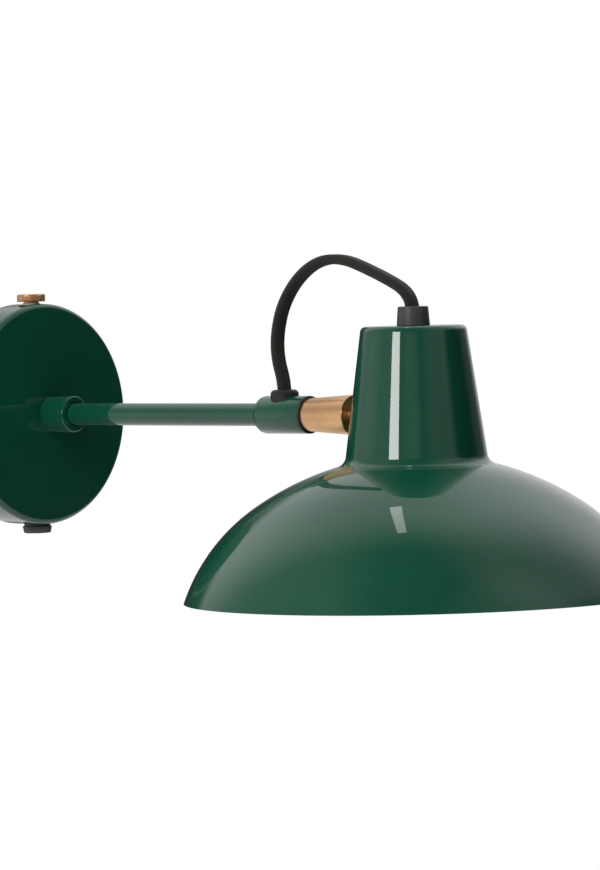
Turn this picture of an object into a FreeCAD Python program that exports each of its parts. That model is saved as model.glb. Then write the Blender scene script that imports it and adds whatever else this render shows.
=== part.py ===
"""Wall lamp with a straight arm and a swivelling enamelled shade, as a parametric assembly.

The frame: origin where the arm's axis meets the wall, +X out of the wall along the arm, +Z up.
The shade's own axis is vertical and crosses the arm's axis at X = SHADE_AXIS.
Every length is in millimetres.
"""
import FreeCAD, Part
import math
import os

import Sketcher

# Driving dimensions: name, value in mm (or a plain number), what it is.
DIMENSIONS = [
    ("cup_diameter", 101.0, "wall cup, outside"),
    ("cup_height", 21.2, "wall to the flat land under the hub"),
    ("cup_wall", 1.0, "sheet of the wall cup"),
    ("cup_edge_radius", 2.6, "rounding between side and face of the cup"),
    ("cup_crown_radius", 350.0, "crown of the cup's face"),
    ("cup_land_radius", 9.5, "flat land under the hub"),
    ("cup_middle_radius", 31.0, "where the crown's two cones meet"),
    ("cup_fixings_x", 8.9, "thumbscrew and switch, distance from the wall"),
    ("fit_gap", 0.05, "running clearance, radial"),
    ("seat_gap", 0.02, "threads and pressed pieces, radial"),
    ("hole_gap", 0.25, "plain holes round what passes through them, radial"),
    ("plate_thickness", 2.0, "bracket sheet"),
    ("plate_width", 20.0, "bracket arms"),
    ("plate_entry_radius", 8.0, "cable entry through the bracket"),
    ("plate_bend_radius", 1.0, "inside of the bracket's bends"),
    ("ear_length", 13.0, "how far the bracket's ears stand off the wall"),
    ("ear_gap", 0.3, "between ears and the cup's inside"),
    ("slot_spacing", 60.0, "wall screw slots, centre to centre"),
    ("slot_length", 12.0, "wall screw slots, end to end"),
    ("slot_width", 4.8, "wall screw slots"),
    ("thumb_thread_radius", 2.0, "M4 shank of the thumbscrew"),
    ("thumb_length", 8.6, "shank below the shoulder"),
    ("thumb_head_diameter", 12.9, "knurled head"),
    ("thumb_head_height", 3.4, "knurled head"),
    ("thumb_collar_radius", 3.4, "collar under the knurled head"),
    ("thumb_collar_height", 0.6, "collar under the knurled head"),
    ("thumb_edge", 0.4, "chamfers on the knurled head"),
    ("thumb_knurls", 48, "grooves round the head"),
    ("thumb_knurl_depth", 0.28, "grooves round the head"),
    ("thumb_washer_radius", 4.0, "washer under the thumbscrew"),
    ("thumb_washer_height", 0.5, "washer under the thumbscrew, at its middle"),
    ("hub_end", 35.6, "wall to the hub's free end"),
    ("hub_diameter", 16.5, "hub"),
    ("hub_edge", 0.7, "chamfer on the hub's outer edge"),
    ("hub_countersink", 0.6, "round the tube at the hub's free end"),
    ("tube_diameter", 10.0, "arm tube"),
    ("tube_wall", 1.0, "arm tube"),
    ("tube_start", 14.0, "wall to the tube's threaded end"),
    ("tube_seat", 8.0, "depth of the tube in the sleeve"),
    ("lock_washer_height", 0.8, "toothed washers"),
    ("lock_washer_radius", 8.6, "toothed washers"),
    ("lock_washer_teeth", 12, "teeth round a lock washer"),
    ("nut_flats", 14.0, "M10 lamp nuts across the flats"),
    ("nut_height", 2.6, "M10 lamp nuts"),
    ("sleeve_start", 153.0, "wall to the sleeve's closed end"),
    ("sleeve_length", 27.4, "sleeve"),
    ("sleeve_diameter", 16.5, "sleeve"),
    ("sleeve_edge_radius", 3.0, "rounded closed end of the sleeve"),
    ("chamber_radius", 6.6, "cord chamber inside the sleeve"),
    ("chamber_length", 11.0, "cord chamber inside the sleeve"),
    ("cord_exit", 13.3, "sleeve's closed end to the cord's way out"),
    ("cord_hole_radius", 4.6, "hole for the grommet"),
    ("grommet_radius", 6.2, "flange of the cord grommet"),
    ("grommet_height", 2.7, "flange of the cord grommet, above the sleeve"),
    ("grommet_edge_radius", 1.1, "flange's rounded edge"),
    ("grommet_foot", 6.0, "arm's axis up to the grommet's end inside the sleeve"),
    ("cord_width", 6.9, "flat two-core textile cord"),
    ("cord_thickness", 4.4, "flat two-core textile cord"),
    ("cord_gap", 0.1, "round the cord in its holes"),
    ("cord_bend_radius", 6.0, "cord's bends inside the cup and the sleeve"),
    ("cord_join_height", 3.2, "neck's top up to the free cord's end inside the grip"),
    ("pivot_radius", 3.0, "M6 pivot stud"),
    ("pivot_depth", 7.4, "stud's length in the sleeve"),
    ("washer_height", 0.9, "black friction washer"),
    ("stop_radius", 1.0, "stop pin"),
    ("stop_place", 5.1, "stop pin, distance from the arm's axis"),
    ("stop_length", 6.4, "stop pin"),
    ("stop_reach", 1.8, "stop pin's end inside the brass cone"),
    ("stop_gap", 0.1, "round and before the stop pin in its groove"),
    ("swivel_half_turn", 90.0, "head's swing to each side, degrees"),
    ("cone_length", 26.0, "brass cone"),
    ("cone_small_radius", 7.2, "brass cone at the friction washer"),
    ("cone_large_radius", 8.75, "brass cone at its shade end"),
    ("cone_edge", 0.35, "chamfers on the brass cone"),
    ("spigot_radius", 4.3, "brass spigot between cone and neck"),
    ("spigot_length", 7.04, "brass spigot, at the arm's axis"),
    ("saddle_radius", 6.0, "saddle washer inside the neck"),
    ("saddle_height", 1.75, "saddle washer, at its middle"),
    ("spring_washer_height", 0.9, "disc spring under the pivot nut"),
    ("spring_washer_radius", 5.5, "disc spring under the pivot nut"),
    ("pivot_nut_flats", 10.0, "M6 thin nut across the flats"),
    ("pivot_nut_height", 2.7, "M6 thin nut"),
    ("pivot_end", 0.5, "stud beyond its nut"),
    ("shade_wall", 1.2, "spun sheet of the shade"),
    ("neck_radius", 27.86, "neck, outside, at the arm's axis"),
    ("neck_slope", 0.14, "gain in radius per mm down the neck"),
    ("neck_top", 38.2, "arm's axis up to the neck's flat top"),
    ("neck_edge_radius", 2.6, "rounding round the neck's top"),
    ("foot_radius", 5.0, "hollow between neck and dome"),
    ("crown_radius", 124.9, "dome, upper arc"),
    ("shoulder_radius", 81.25, "dome, lower arc"),
    ("shoulder_centre_drop", 105.5, "arm's axis down to the lower arc's centre"),
    ("shade_diameter", 202.0, "rim, outside"),
    ("rim_drop", 78.0, "arm's axis down to the rim"),
    ("grip_base_radius", 7.15, "cord grip where it stands on the neck"),
    ("grip_top_radius", 6.5, "cord grip at its mouth"),
    ("grip_height", 8.2, "cord grip"),
    ("grip_edge", 0.6, "chamfer round the cord grip's mouth"),
    ("grip_slot_gap", 0.3, "round the cord in the grip's mouth"),
    ("grip_thread_depth", 4.2, "M10 thread in the cord grip"),
    ("grip_screw_radius", 1.5, "grub screw in the cord grip"),
    ("nipple_radius", 5.0, "M10 hollow nipple"),
    ("nipple_bore_radius", 3.9, "M10 hollow nipple"),
    ("nipple_length", 16.4, "M10 hollow nipple"),
    ("holder_gap", 0.3, "between the nipple's nut and the lampholder"),
    ("holder_boss_radius", 8.2, "threaded top of the lampholder"),
    ("holder_boss_height", 4.0, "threaded top of the lampholder"),
    ("holder_radius", 19.6, "lampholder body"),
    ("holder_cap_height", 18.0, "lampholder's cap, boss included"),
    ("holder_height", 50.0, "lampholder, boss to mouth"),
    ("holder_wall", 1.8, "moulded walls of the lampholder"),
    ("holder_ledge", 1.0, "cap's rim over the ceramic insert"),
    ("holder_lip", 4.0, "skirt's lip round the mouth"),
    ("holder_ring_height", 5.0, "plain band round the skirt's top"),
    ("holder_ring_depth", 0.5, "plain band round the skirt's top"),
    ("socket_radius", 13.3, "screw shell for the lamp, inside (E27)"),
    ("socket_wall", 0.4, "screw shell"),
    ("socket_setback", 3.0, "screw shell above the lampholder's mouth"),
    ("insert_height", 8.0, "ceramic insert"),
    ("insert_hollow_radius", 7.0, "hollow of the insert over the lamp's tip"),
    ("insert_hollow_depth", 3.6, "hollow of the insert over the lamp's tip"),
    ("contact_radius", 3.2, "centre contact"),
    ("contact_height", 3.0, "centre contact"),
    ("switch_thread_radius", 5.0, "M10 collar of the switch"),
    ("switch_ring_radius", 6.0, "ring nut between cup and button"),
    ("switch_ring_height", 0.8, "ring nut between cup and button"),
    ("switch_radius", 6.3, "switch body"),
    ("switch_height", 14.0, "switch body"),
    ("switch_tab_width", 2.8, "solder tabs"),
    ("switch_tab_thickness", 0.5, "solder tabs"),
    ("switch_tab_length", 5.0, "solder tabs"),
    ("switch_tab_place", 3.5, "solder tabs, from the switch's axis"),
    ("button_skirt_radius", 6.75, "button at its open edge"),
    ("button_tip_radius", 6.1, "button's pressed end"),
    ("button_height", 3.2, "button"),
    ("button_edge", 0.7, "chamfer round the button's pressed end"),
    ("button_lift", 0.9, "cup to the button's open edge"),
    ("button_hollow", 1.3, "hollow of the button over the ring nut"),
    ("button_travel", 0.8, "button's stroke"),
    ("button_stem_radius", 2.6, "button's stem"),
    ("button_stem_length", 9.0, "button's stem, from its open edge"),
    ("button_gap", 0.15, "round the button's stem"),
    ("block_width", 19.0, "terminal block, across"),
    ("block_height", 15.0, "terminal block, up"),
    ("block_depth", 11.0, "terminal block, out from the bracket"),
    ("block_bottom", 21.0, "arm's axis up to the terminal block"),
    ("block_poles", 3, "poles of the terminal block"),
    ("block_wire_radius", 1.7, "wire holes of the terminal block"),
    ("screw_radius", 1.5, "small machine screws"),
    ("screw_length", 5.0, "small machine screws, below the head"),
    ("screw_head_radius", 2.8, "small machine screws"),
    ("screw_head_height", 1.9, "small machine screws"),
    ("screw_slot_width", 0.8, "small machine screws"),
    ("screw_tip_gap", 0.2, "wall to the earth screw's tip"),
    ("earth_screw_place", 16.0, "earth screw, across from the arm's axis"),
    ("holder_screw_place", 9.0, "lampholder's terminal screws, from its axis"),
]

# The free cord's route from grommet to grip: points (X, Z) in the plane Y = 0, chosen by hand.
# The first lies in the grommet and the last in the grip, and the line leaves both upright.
CORD_ROUTE = [
    (166.3, 8.0), (166.3, 14.3), (162.8, 24.6), (162.8, 35.6), (167.0, 48.6), (176.7, 60.2),
    (189.4, 67.2), (203.6, 67.4), (217.4, 62.6), (229.2, 57.8), (237.8, 53.6), (242.2, 47.6),
    (242.2, 41.4),
]
ARC_SHARE = 0.45            # part of the shorter run that an arc's tangent takes up
TINY = 1e-9                 # below this a sketch coordinate lies on its axis

doc = FreeCAD.newDocument("wall_lamp")
sheet = doc.addObject("Spreadsheet::Sheet", "sizes")
nodes = []


class Size:
    """A size that knows its value and the spreadsheet expression that gives it."""

    def __init__(self, value, text):
        self.value = float(value)
        self.text = text

    def __add__(self, other):
        other = size(other)
        return Size(self.value + other.value, f"({self.text} + {other.text})")

    def __sub__(self, other):
        other = size(other)
        return Size(self.value - other.value, f"({self.text} - {other.text})")

    def __mul__(self, other):
        other = size(other)
        return Size(self.value * other.value, f"({self.text} * {other.text})")

    def __truediv__(self, other):
        other = size(other)
        return Size(self.value / other.value, f"({self.text} / {other.text})")

    def __rsub__(self, other):
        return size(other) - self

    def __neg__(self):
        return Size(-self.value, f"(-1 * {self.text})")

    __radd__ = __add__
    __rmul__ = __mul__


def size(number):
    """A plain number as a Size; a Size stays as it is."""
    return number if isinstance(number, Size) else Size(number, repr(float(number)))


def root(square):
    """Square root of a Size."""
    return Size(math.sqrt(square.value), f"sqrt({square.text})")


def leg(hypotenuse, side):
    """The other short side of a right triangle."""
    return root(hypotenuse * hypotenuse - side * side)


def sine(degrees):
    """Sine of an angle in degrees."""
    return Size(math.sin(math.radians(degrees.value)), f"sin({degrees.text})")


def cosine(degrees):
    """Cosine of an angle in degrees."""
    return Size(math.cos(math.radians(degrees.value)), f"cos({degrees.text})")


def fill_sheet():
    """Write each driving dimension to its own aliased cell."""
    for row, (name, value, note) in enumerate(DIMENSIONS, start=1):
        sheet.set(f"A{row}", name)
        sheet.set(f"B{row}", str(value))
        sheet.set(f"C{row}", note)
        sheet.setAlias(f"B{row}", name)
    doc.recompute()
    return {name: Size(value, f"sizes.{name}") for name, value, note in DIMENSIONS}


S = fill_sheet()


# ---------------------------------------------------------------- building blocks

def bind(thing, prop, amount):
    """Set a property and tie it to the sheet."""
    amount = size(amount)
    if "." not in prop:
        setattr(thing, prop, amount.value)
    thing.setExpression(prop, amount.text)


def new_body(label, at=(0, 0, 0), turn=None):
    """A PartDesign body that is one node, with its own placement."""
    body = doc.addObject("PartDesign::Body", label)
    body.Label = label
    place(body, at, turn)
    nodes.append(body)
    return body


def place(thing, at, turn=None):
    """Place a body or primitive, each coordinate tied to the sheet. turn is (axis, degrees)."""
    amounts = [size(v) for v in at]
    rotation = FreeCAD.Rotation(FreeCAD.Vector(*turn[0]), turn[1]) if turn else FreeCAD.Rotation()
    thing.Placement = FreeCAD.Placement(FreeCAD.Vector(*(a.value for a in amounts)), rotation)
    for axis, amount in zip("xyz", amounts):
        if amount.value:
            thing.setExpression(f"Placement.Base.{axis}", amount.text)


def new_sketch(body, plane, name, offset=0):
    """A sketch on one of the body's own origin planes, moved along the plane's normal."""
    sketch = body.newObject("Sketcher::SketchObject", name)
    planes = {feature.Role: feature for feature in body.Origin.OriginFeatures}
    sketch.AttachmentSupport = (planes[plane], [""])
    sketch.MapMode = "FlatFace"
    offset = size(offset)
    if offset.value:
        sketch.AttachmentOffset = FreeCAD.Placement(
            FreeCAD.Vector(0, 0, offset.value), FreeCAD.Rotation())
        sketch.setExpression("AttachmentOffset.Base.z", offset.text)
    return sketch


def fix_point(sketch, geometry, end, x, y):
    """Hold one end of a sketch element at (x, y), each tied to the sheet."""
    for amount, kind, axis in ((x, "DistanceX", -2), (y, "DistanceY", -1)):
        if abs(amount.value) < TINY:
            sketch.addConstraint(Sketcher.Constraint("PointOnObject", geometry, end, axis))
            continue
        index = sketch.addConstraint(
            Sketcher.Constraint(kind, -1, 1, geometry, end, amount.value))
        sketch.setExpression(f"Constraints[{index}]", amount.text)


def arc_between(start, end, radius, side):
    """Arc from start to end with its centre left (side 1) or right (side -1) of the way."""
    (x0, y0), (x1, y1) = start, end
    chord = math.hypot(x1 - x0, y1 - y0)
    rise = math.sqrt(max(radius * radius - chord * chord / 4, 0)) * side
    cx = (x0 + x1) / 2 - (y1 - y0) / chord * rise
    cy = (y0 + y1) / 2 + (x1 - x0) / chord * rise
    turn_from, turn_to = (start, end) if side > 0 else (end, start)
    circle = Part.Circle(FreeCAD.Vector(cx, cy, 0), FreeCAD.Vector(0, 0, 1), radius)
    angles = [math.atan2(p[1] - cy, p[0] - cx) for p in (turn_from, turn_to)]
    return Part.ArcOfCircle(circle, angles[0], angles[1])


def half_circle_centre(sketch, geometry, start, finish):
    """A half circle has its centre level with the ends of an upright or level chord."""
    upright = math.isclose(start[0].value, finish[0].value, abs_tol=1e-9)
    kind, amount = ("DistanceX", start[0]) if upright else ("DistanceY", start[1])
    if abs(amount.value) < TINY:
        axis = -2 if upright else -1
        sketch.addConstraint(Sketcher.Constraint("PointOnObject", geometry, 3, axis))
        return
    index = sketch.addConstraint(Sketcher.Constraint(kind, -1, 1, geometry, 3, amount.value))
    sketch.setExpression(f"Constraints[{index}]", amount.text)


def outline(sketch, points, arcs=None):
    """A closed outline. points are (x, y); arcs maps the index of the point where an arc
    starts to (radius, side), and every other stretch is a straight line."""
    arcs = arcs or {}
    points = [(size(x), size(y)) for x, y in points]
    count = len(points)
    ends = []
    for i, start in enumerate(points):
        finish = points[(i + 1) % count]
        flat = [(p[0].value, p[1].value) for p in (start, finish)]
        if i in arcs:
            radius, side = arcs[i]
            radius = size(radius)
            geometry = sketch.addGeometry(arc_between(flat[0], flat[1], radius.value, side), False)
            ends.append((geometry, 1, 2) if side > 0 else (geometry, 2, 1))
            chord = math.hypot(flat[1][0] - flat[0][0], flat[1][1] - flat[0][1])
            if math.isclose(chord, 2 * radius.value):
                half_circle_centre(sketch, geometry, start, finish)
            else:
                index = sketch.addConstraint(Sketcher.Constraint("Radius", geometry, radius.value))
                sketch.setExpression(f"Constraints[{index}]", radius.text)
        else:
            line = Part.LineSegment(FreeCAD.Vector(*flat[0], 0), FreeCAD.Vector(*flat[1], 0))
            ends.append((sketch.addGeometry(line, False), 1, 2))
    for i, (geometry, first, last) in enumerate(ends):
        following = ends[(i + 1) % count]
        sketch.addConstraint(
            Sketcher.Constraint("Coincident", geometry, last, following[0], following[1]))
        fix_point(sketch, geometry, first, *points[i])


def rounding(x, y, radius, turns):
    """Points of a small rounded edge about (x, y), one for each angle in degrees."""
    return [(x + radius * math.cos(math.radians(a)), y + radius * math.sin(math.radians(a)))
            for a in turns]


def ring(sketch, radius, x=0, y=0):
    """A full circle about (x, y)."""
    radius, x, y = size(radius), size(x), size(y)
    circle = Part.Circle(FreeCAD.Vector(x.value, y.value, 0), FreeCAD.Vector(0, 0, 1), radius.value)
    geometry = sketch.addGeometry(circle, False)
    index = sketch.addConstraint(Sketcher.Constraint("Radius", geometry, radius.value))
    sketch.setExpression(f"Constraints[{index}]", radius.text)
    fix_point(sketch, geometry, 3, x, y)


def box_outline(sketch, x0, x1, y0, y1):
    """A rectangle between two corners."""
    outline(sketch, [(x0, y0), (x1, y0), (x1, y1), (x0, y1)])


def slot_outline(sketch, half_length, half_width, x=0, y=0, upright=False):
    """A slot with round ends about (x, y), along the sketch's x, or its y when upright."""
    straight = size(half_length) - half_width
    x, y = size(x), size(y)
    if upright:
        corners = [(x + half_width, y - straight), (x + half_width, y + straight),
                   (x - half_width, y + straight), (x - half_width, y - straight)]
    else:
        corners = [(x - straight, y - half_width), (x + straight, y - half_width),
                   (x + straight, y + half_width), (x - straight, y + half_width)]
    ends = {1: (half_width, 1), 3: (half_width, 1)}
    outline(sketch, corners, ends)


def turned(body, name, points, arcs=None, axis="H_Axis"):
    """Turn an outline in the body's XZ plane about its X axis, or its Z axis (V_Axis)."""
    sketch = new_sketch(body, "XZ_Plane", name + "_profile")
    outline(sketch, points, arcs)
    turn = body.newObject("PartDesign::Revolution", name)
    turn.Profile = sketch
    turn.ReferenceAxis = (sketch, [axis])
    turn.Angle = 360
    return turn


def turned_cut(body, name, points, axis_x=None, axis="H_Axis"):
    """Cut away what an outline sweeps about an axis, or about an upright line at axis_x."""
    sketch = new_sketch(body, "XZ_Plane", name + "_profile")
    outline(sketch, points)
    if axis_x is not None:
        x = size(axis_x).value
        low, high = (min(size(p[1]).value for p in points), max(size(p[1]).value for p in points))
        line = sketch.addGeometry(
            Part.LineSegment(FreeCAD.Vector(x, low, 0), FreeCAD.Vector(x, high, 0)), True)
        fix_point(sketch, line, 1, size(axis_x), size(low))
        fix_point(sketch, line, 2, size(axis_x), size(high))
        axis = "Axis0"
    cut = body.newObject("PartDesign::Groove", name)
    cut.Profile = sketch
    cut.ReferenceAxis = (sketch, [axis])
    cut.Angle = 360
    return cut


def pad(body, name, sketch, length, both_ways=False):
    """Pad a sketch along its normal, or half to each side."""
    feature = body.newObject("PartDesign::Pad", name)
    feature.Profile = sketch
    bind(feature, "Length", length)
    feature.Midplane = both_ways
    return feature


def pocket(body, name, sketch, length, forwards=False):
    """Cut a sketch out against its normal, or along it."""
    feature = body.newObject("PartDesign::Pocket", name)
    feature.Profile = sketch
    bind(feature, "Length", length)
    feature.Reversed = forwards
    return feature


def around(body, name, feature, count):
    """Repeat a feature round the body's own Z axis."""
    pattern = body.newObject("PartDesign::PolarPattern", name)
    pattern.Originals = [feature]
    axes = {part.Role: part for part in body.Origin.OriginFeatures}
    pattern.Axis = (axes["Z_Axis"], [""])
    pattern.Angle = 360
    pattern.Occurrences = int(count.value)
    pattern.setExpression("Occurrences", count.text)
    body.Tip = pattern
    return pattern


def tube(label, at, start, end, outer, inner):
    """A plain tube or ring along X."""
    body = new_body(label, at)
    turned(body, label + "_turn", [(start, inner), (start, outer), (end, outer), (end, inner)])
    return body


def upright_tube(label, at, low, high, outer, inner):
    """A plain tube or ring along Z."""
    body = new_body(label, at)
    turned(body, label + "_turn", [(inner, low), (outer, low), (outer, high), (inner, high)],
           axis="V_Axis")
    return body


def hex_outline(sketch, flats):
    """A hexagon about the sketch's origin, with two flats across its x axis."""
    corner = size(flats) / math.sqrt(3)
    turns = [math.radians(60 * k) for k in range(6)]
    outline(sketch, [(corner * round(math.sin(a), 12), corner * round(math.cos(a), 12))
                     for a in turns])


def nut(label, at, plane, flats, height, bore):
    """A hexagon nut that grows from its place along the plane's normal."""
    body = new_body(label, at)
    sketch = new_sketch(body, plane, label + "_hexagon")
    hex_outline(sketch, flats)
    ring(sketch, bore)
    pad(body, label + "_pad", sketch, height)
    return body


def lock_washer(label, at, turn=None):
    """A washer toothed round its edge, from its place along its own Z."""
    body = new_body(label, at, turn)
    bore = S["tube_diameter"] / 2 + S["seat_gap"]
    outer = S["lock_washer_radius"]
    height = S["lock_washer_height"]
    turned(body, label + "_ring", [(bore, 0), (outer, 0), (outer, height), (bore, height)],
           axis="V_Axis")
    gap = new_sketch(body, "XY_Plane", label + "_tooth_gap")
    depth = (outer - bore) * 0.4
    outline(gap, [(outer - depth, 0), (outer * 1.1, depth * -0.6), (outer * 1.1, depth * 0.6)])
    cut = pocket(body, label + "_gap_cut", gap, height, forwards=True)
    around(body, label + "_teeth", cut, S["lock_washer_teeth"])
    return body


def screws(label, spots, at, turn=None):
    """One node of slotted screws: heads up from the local XY plane, shanks down."""
    made = []
    for number, (x, y) in enumerate(spots, start=1):
        name = f"{label}_{number}"
        shank = doc.addObject("Part::Cylinder", name + "_shank")
        bind(shank, "Radius", S["screw_radius"])
        bind(shank, "Height", S["screw_length"])
        place(shank, (x, y, -S["screw_length"]))
        head = doc.addObject("Part::Cylinder", name + "_head")
        bind(head, "Radius", S["screw_head_radius"])
        bind(head, "Height", S["screw_head_height"])
        place(head, (x, y, 0))
        joined = doc.addObject("Part::MultiFuse", name + "_whole")
        joined.Shapes = [shank, head]
        slot = doc.addObject("Part::Box", name + "_slot")
        bind(slot, "Length", S["screw_head_radius"] * 2)
        bind(slot, "Width", S["screw_slot_width"])
        bind(slot, "Height", S["screw_head_height"])
        place(slot, (size(x) - S["screw_head_radius"], size(y) - S["screw_slot_width"] / 2,
                     S["screw_head_height"] / 2))
        screw = doc.addObject("Part::Cut", name)
        screw.Base = joined
        screw.Tool = slot
        made.append(screw)
    group = doc.addObject("Part::Compound", label)
    group.Links = made
    group.Label = label
    place(group, at, turn)
    nodes.append(group)
    return group


# ---------------------------------------------------------------- places that pieces share

CUP_RADIUS = S["cup_diameter"] / 2
CUP_INSIDE = CUP_RADIUS - S["cup_wall"]
CUP_FLOOR = S["cup_height"] - S["cup_wall"]
EAR_FACE = leg(CUP_INSIDE, S["plate_width"] / 2) - S["ear_gap"]
TUBE_RADIUS = S["tube_diameter"] / 2
TUBE_BORE = TUBE_RADIUS - S["tube_wall"]
TUBE_HOLE = TUBE_RADIUS + S["seat_gap"]
TUBE_END = S["sleeve_start"] + S["tube_seat"]
SLEEVE_RADIUS = S["sleeve_diameter"] / 2
SLEEVE_END = S["sleeve_start"] + S["sleeve_length"]
CORD_EXIT = S["sleeve_start"] + S["cord_exit"]
CONE_START = SLEEVE_END + S["washer_height"]
CONE_END = CONE_START + S["cone_length"]
SHADE_AXIS = CONE_END + S["spigot_length"] + S["neck_radius"]
PIVOT_BORE = S["pivot_radius"] + S["fit_gap"]
PIVOT_SEAT = S["pivot_radius"] + S["seat_gap"]
NECK_LEAN = root(S["neck_slope"] * S["neck_slope"] + 1)
NECK_FLOOR = S["neck_top"] - S["shade_wall"]
SADDLE_FACE = S["neck_radius"] - S["shade_wall"] * NECK_LEAN - S["saddle_height"]
PIVOT_NUT_FACE = SHADE_AXIS - SADDLE_FACE + S["spring_washer_height"]
NIPPLE_HOLE = S["nipple_radius"] + S["seat_gap"]
NIPPLE_NUT_TOP = NECK_FLOOR - S["lock_washer_height"]
HOLDER_TOP = NIPPLE_NUT_TOP - S["nut_height"] - S["holder_gap"]
HOLDER_CAVITY = S["holder_radius"] - S["holder_wall"]
HOLDER_JOIN = -S["holder_cap_height"]
INSERT_FOOT = HOLDER_JOIN - S["insert_height"]
CONTACT_SEAT = INSERT_FOOT + S["insert_hollow_depth"]
BLOCK_SPACING = S["block_width"] / S["block_poles"]
SWITCH_BACK = leg(CUP_INSIDE, S["nut_flats"] / math.sqrt(3)) - S["nut_height"]


def neck_outside(z):
    """Radius of the neck's outer cone at height z above the arm's axis."""
    return S["neck_radius"] - S["neck_slope"] * z


def neck_inside(z):
    """Radius of the neck's inner cone at height z above the arm's axis."""
    return neck_outside(z) - S["shade_wall"] * NECK_LEAN


# ---------------------------------------------------------------- wall cup and what it holds

def make_wall_cup():
    """Spun cup: straight side, rounded edge, slightly crowned face, flat land at the hub.
    The rounding and the crown are in straight steps."""
    body = new_body("wall_cup")
    wall = S["cup_wall"]
    edge = S["cup_edge_radius"]
    crown = S["cup_crown_radius"]
    land = S["cup_land_radius"]
    hole = TUBE_RADIUS + S["hole_gap"]
    crown_centre = S["cup_height"] - leg(crown, land)
    middle = S["cup_middle_radius"]
    middle_x = crown_centre + leg(crown, middle)
    edge_run = leg(crown - edge, CUP_RADIUS - edge)
    edge_centre = crown_centre + edge_run
    meet = crown / (crown - edge)
    meet_in = (crown - wall) / (crown - edge)
    turned(body, "cup_sheet", [
        (0, CUP_RADIUS), (edge_centre, CUP_RADIUS),
        *rounding(edge_centre, CUP_RADIUS - edge, edge, (62, 35)),
        (crown_centre + edge_run * meet, (CUP_RADIUS - edge) * meet), (middle_x, middle),
        (S["cup_height"], land), (S["cup_height"], hole), (CUP_FLOOR, hole), (CUP_FLOOR, land),
        (middle_x - wall, middle),
        (crown_centre + edge_run * meet_in, (CUP_RADIUS - edge) * meet_in),
        (edge_centre, CUP_INSIDE), (0, CUP_INSIDE),
    ])
    top = new_sketch(body, "XY_Plane", "thumbscrew_hole")
    ring(top, S["thumb_thread_radius"] + S["hole_gap"], S["cup_fixings_x"])
    pocket(body, "thumbscrew_hole_cut", top, S["cup_diameter"], forwards=True)
    bottom = new_sketch(body, "XY_Plane", "switch_hole")
    ring(bottom, S["switch_thread_radius"] + S["hole_gap"], S["cup_fixings_x"])
    pocket(body, "switch_hole_cut", bottom, S["cup_diameter"])


def bent_profile(reach, back_to):
    """Strip bent forward at `reach`, back to `back_to` on the other side: one quarter of its
    outline, as (across, out) points with the arcs that start at them."""
    thick = S["plate_thickness"]
    inner = S["plate_bend_radius"]
    outer = inner + thick
    tip = S["ear_length"]
    points = [(back_to, 0), (reach - outer, 0), (reach, outer), (reach, tip),
              (reach - thick, tip), (reach - thick, outer), (reach - outer, thick),
              (back_to, thick)]
    return points, {1: (outer, 1), 5: (inner, -1)}


def make_wall_bracket():
    """Steel strip bracket: a level bar with an ear at each end, and an upright arm whose ear
    takes the thumbscrew."""
    body = new_body("wall_bracket")
    points, arcs = bent_profile(EAR_FACE, size(0))
    for side, name in ((1, "right"), (-1, "left")):
        sketch = new_sketch(body, "XY_Plane", f"{name}_bar_profile")
        flipped = [(out, across * side) for across, out in points]
        outline(sketch, flipped, {i: (r, -turn * side) for i, (r, turn) in arcs.items()})
        pad(body, f"{name}_bar", sketch, S["plate_width"], both_ways=True)
    sketch = new_sketch(body, "XZ_Plane", "arm_profile")
    outline(sketch, [(out, across) for across, out in points],
            {i: (r, -turn) for i, (r, turn) in arcs.items()})
    pad(body, "upright_arm", sketch, S["plate_width"], both_ways=True)
    holes = new_sketch(body, "YZ_Plane", "plate_holes")
    ring(holes, S["plate_entry_radius"])
    ring(holes, S["screw_radius"] + S["seat_gap"], S["earth_screw_place"])
    for side in (1, -1):
        slot_outline(holes, S["slot_length"] / 2, S["slot_width"] / 2,
                     S["slot_spacing"] / 2 * side, 0)
    pocket(body, "plate_holes_cut", holes, S["plate_thickness"], forwards=True)
    thread = new_sketch(body, "XY_Plane", "thumbscrew_thread")
    ring(thread, S["thumb_thread_radius"] + S["fit_gap"], S["cup_fixings_x"])
    pocket(body, "thumbscrew_thread_cut", thread, CUP_RADIUS, forwards=True)


def make_earth_screw():
    """Slotted screw in the bracket's bar; its tip stays off the wall."""
    washer_face = S["screw_length"] + S["screw_tip_gap"]
    screws("earth_screw", [(0, S["earth_screw_place"])], (washer_face, 0, 0), ((0, 1, 0), 90))


def make_earth_clamp():
    """Square clamp washer between the earth screw's head and the bracket."""
    body = new_body("earth_clamp", (S["plate_thickness"], S["earth_screw_place"], 0))
    sketch = new_sketch(body, "YZ_Plane", "clamp_square")
    half = S["screw_head_radius"]
    box_outline(sketch, -half, half, -half, half)
    ring(sketch, S["screw_radius"] + S["seat_gap"])
    pad(body, "clamp_pad", sketch,
        S["screw_length"] + S["screw_tip_gap"] - S["plate_thickness"])


def block_spots():
    """Middles of the terminal block's poles across the arm."""
    count = int(S["block_poles"].value)
    return [BLOCK_SPACING * (k - (count - 1) / 2) for k in range(count)]


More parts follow.
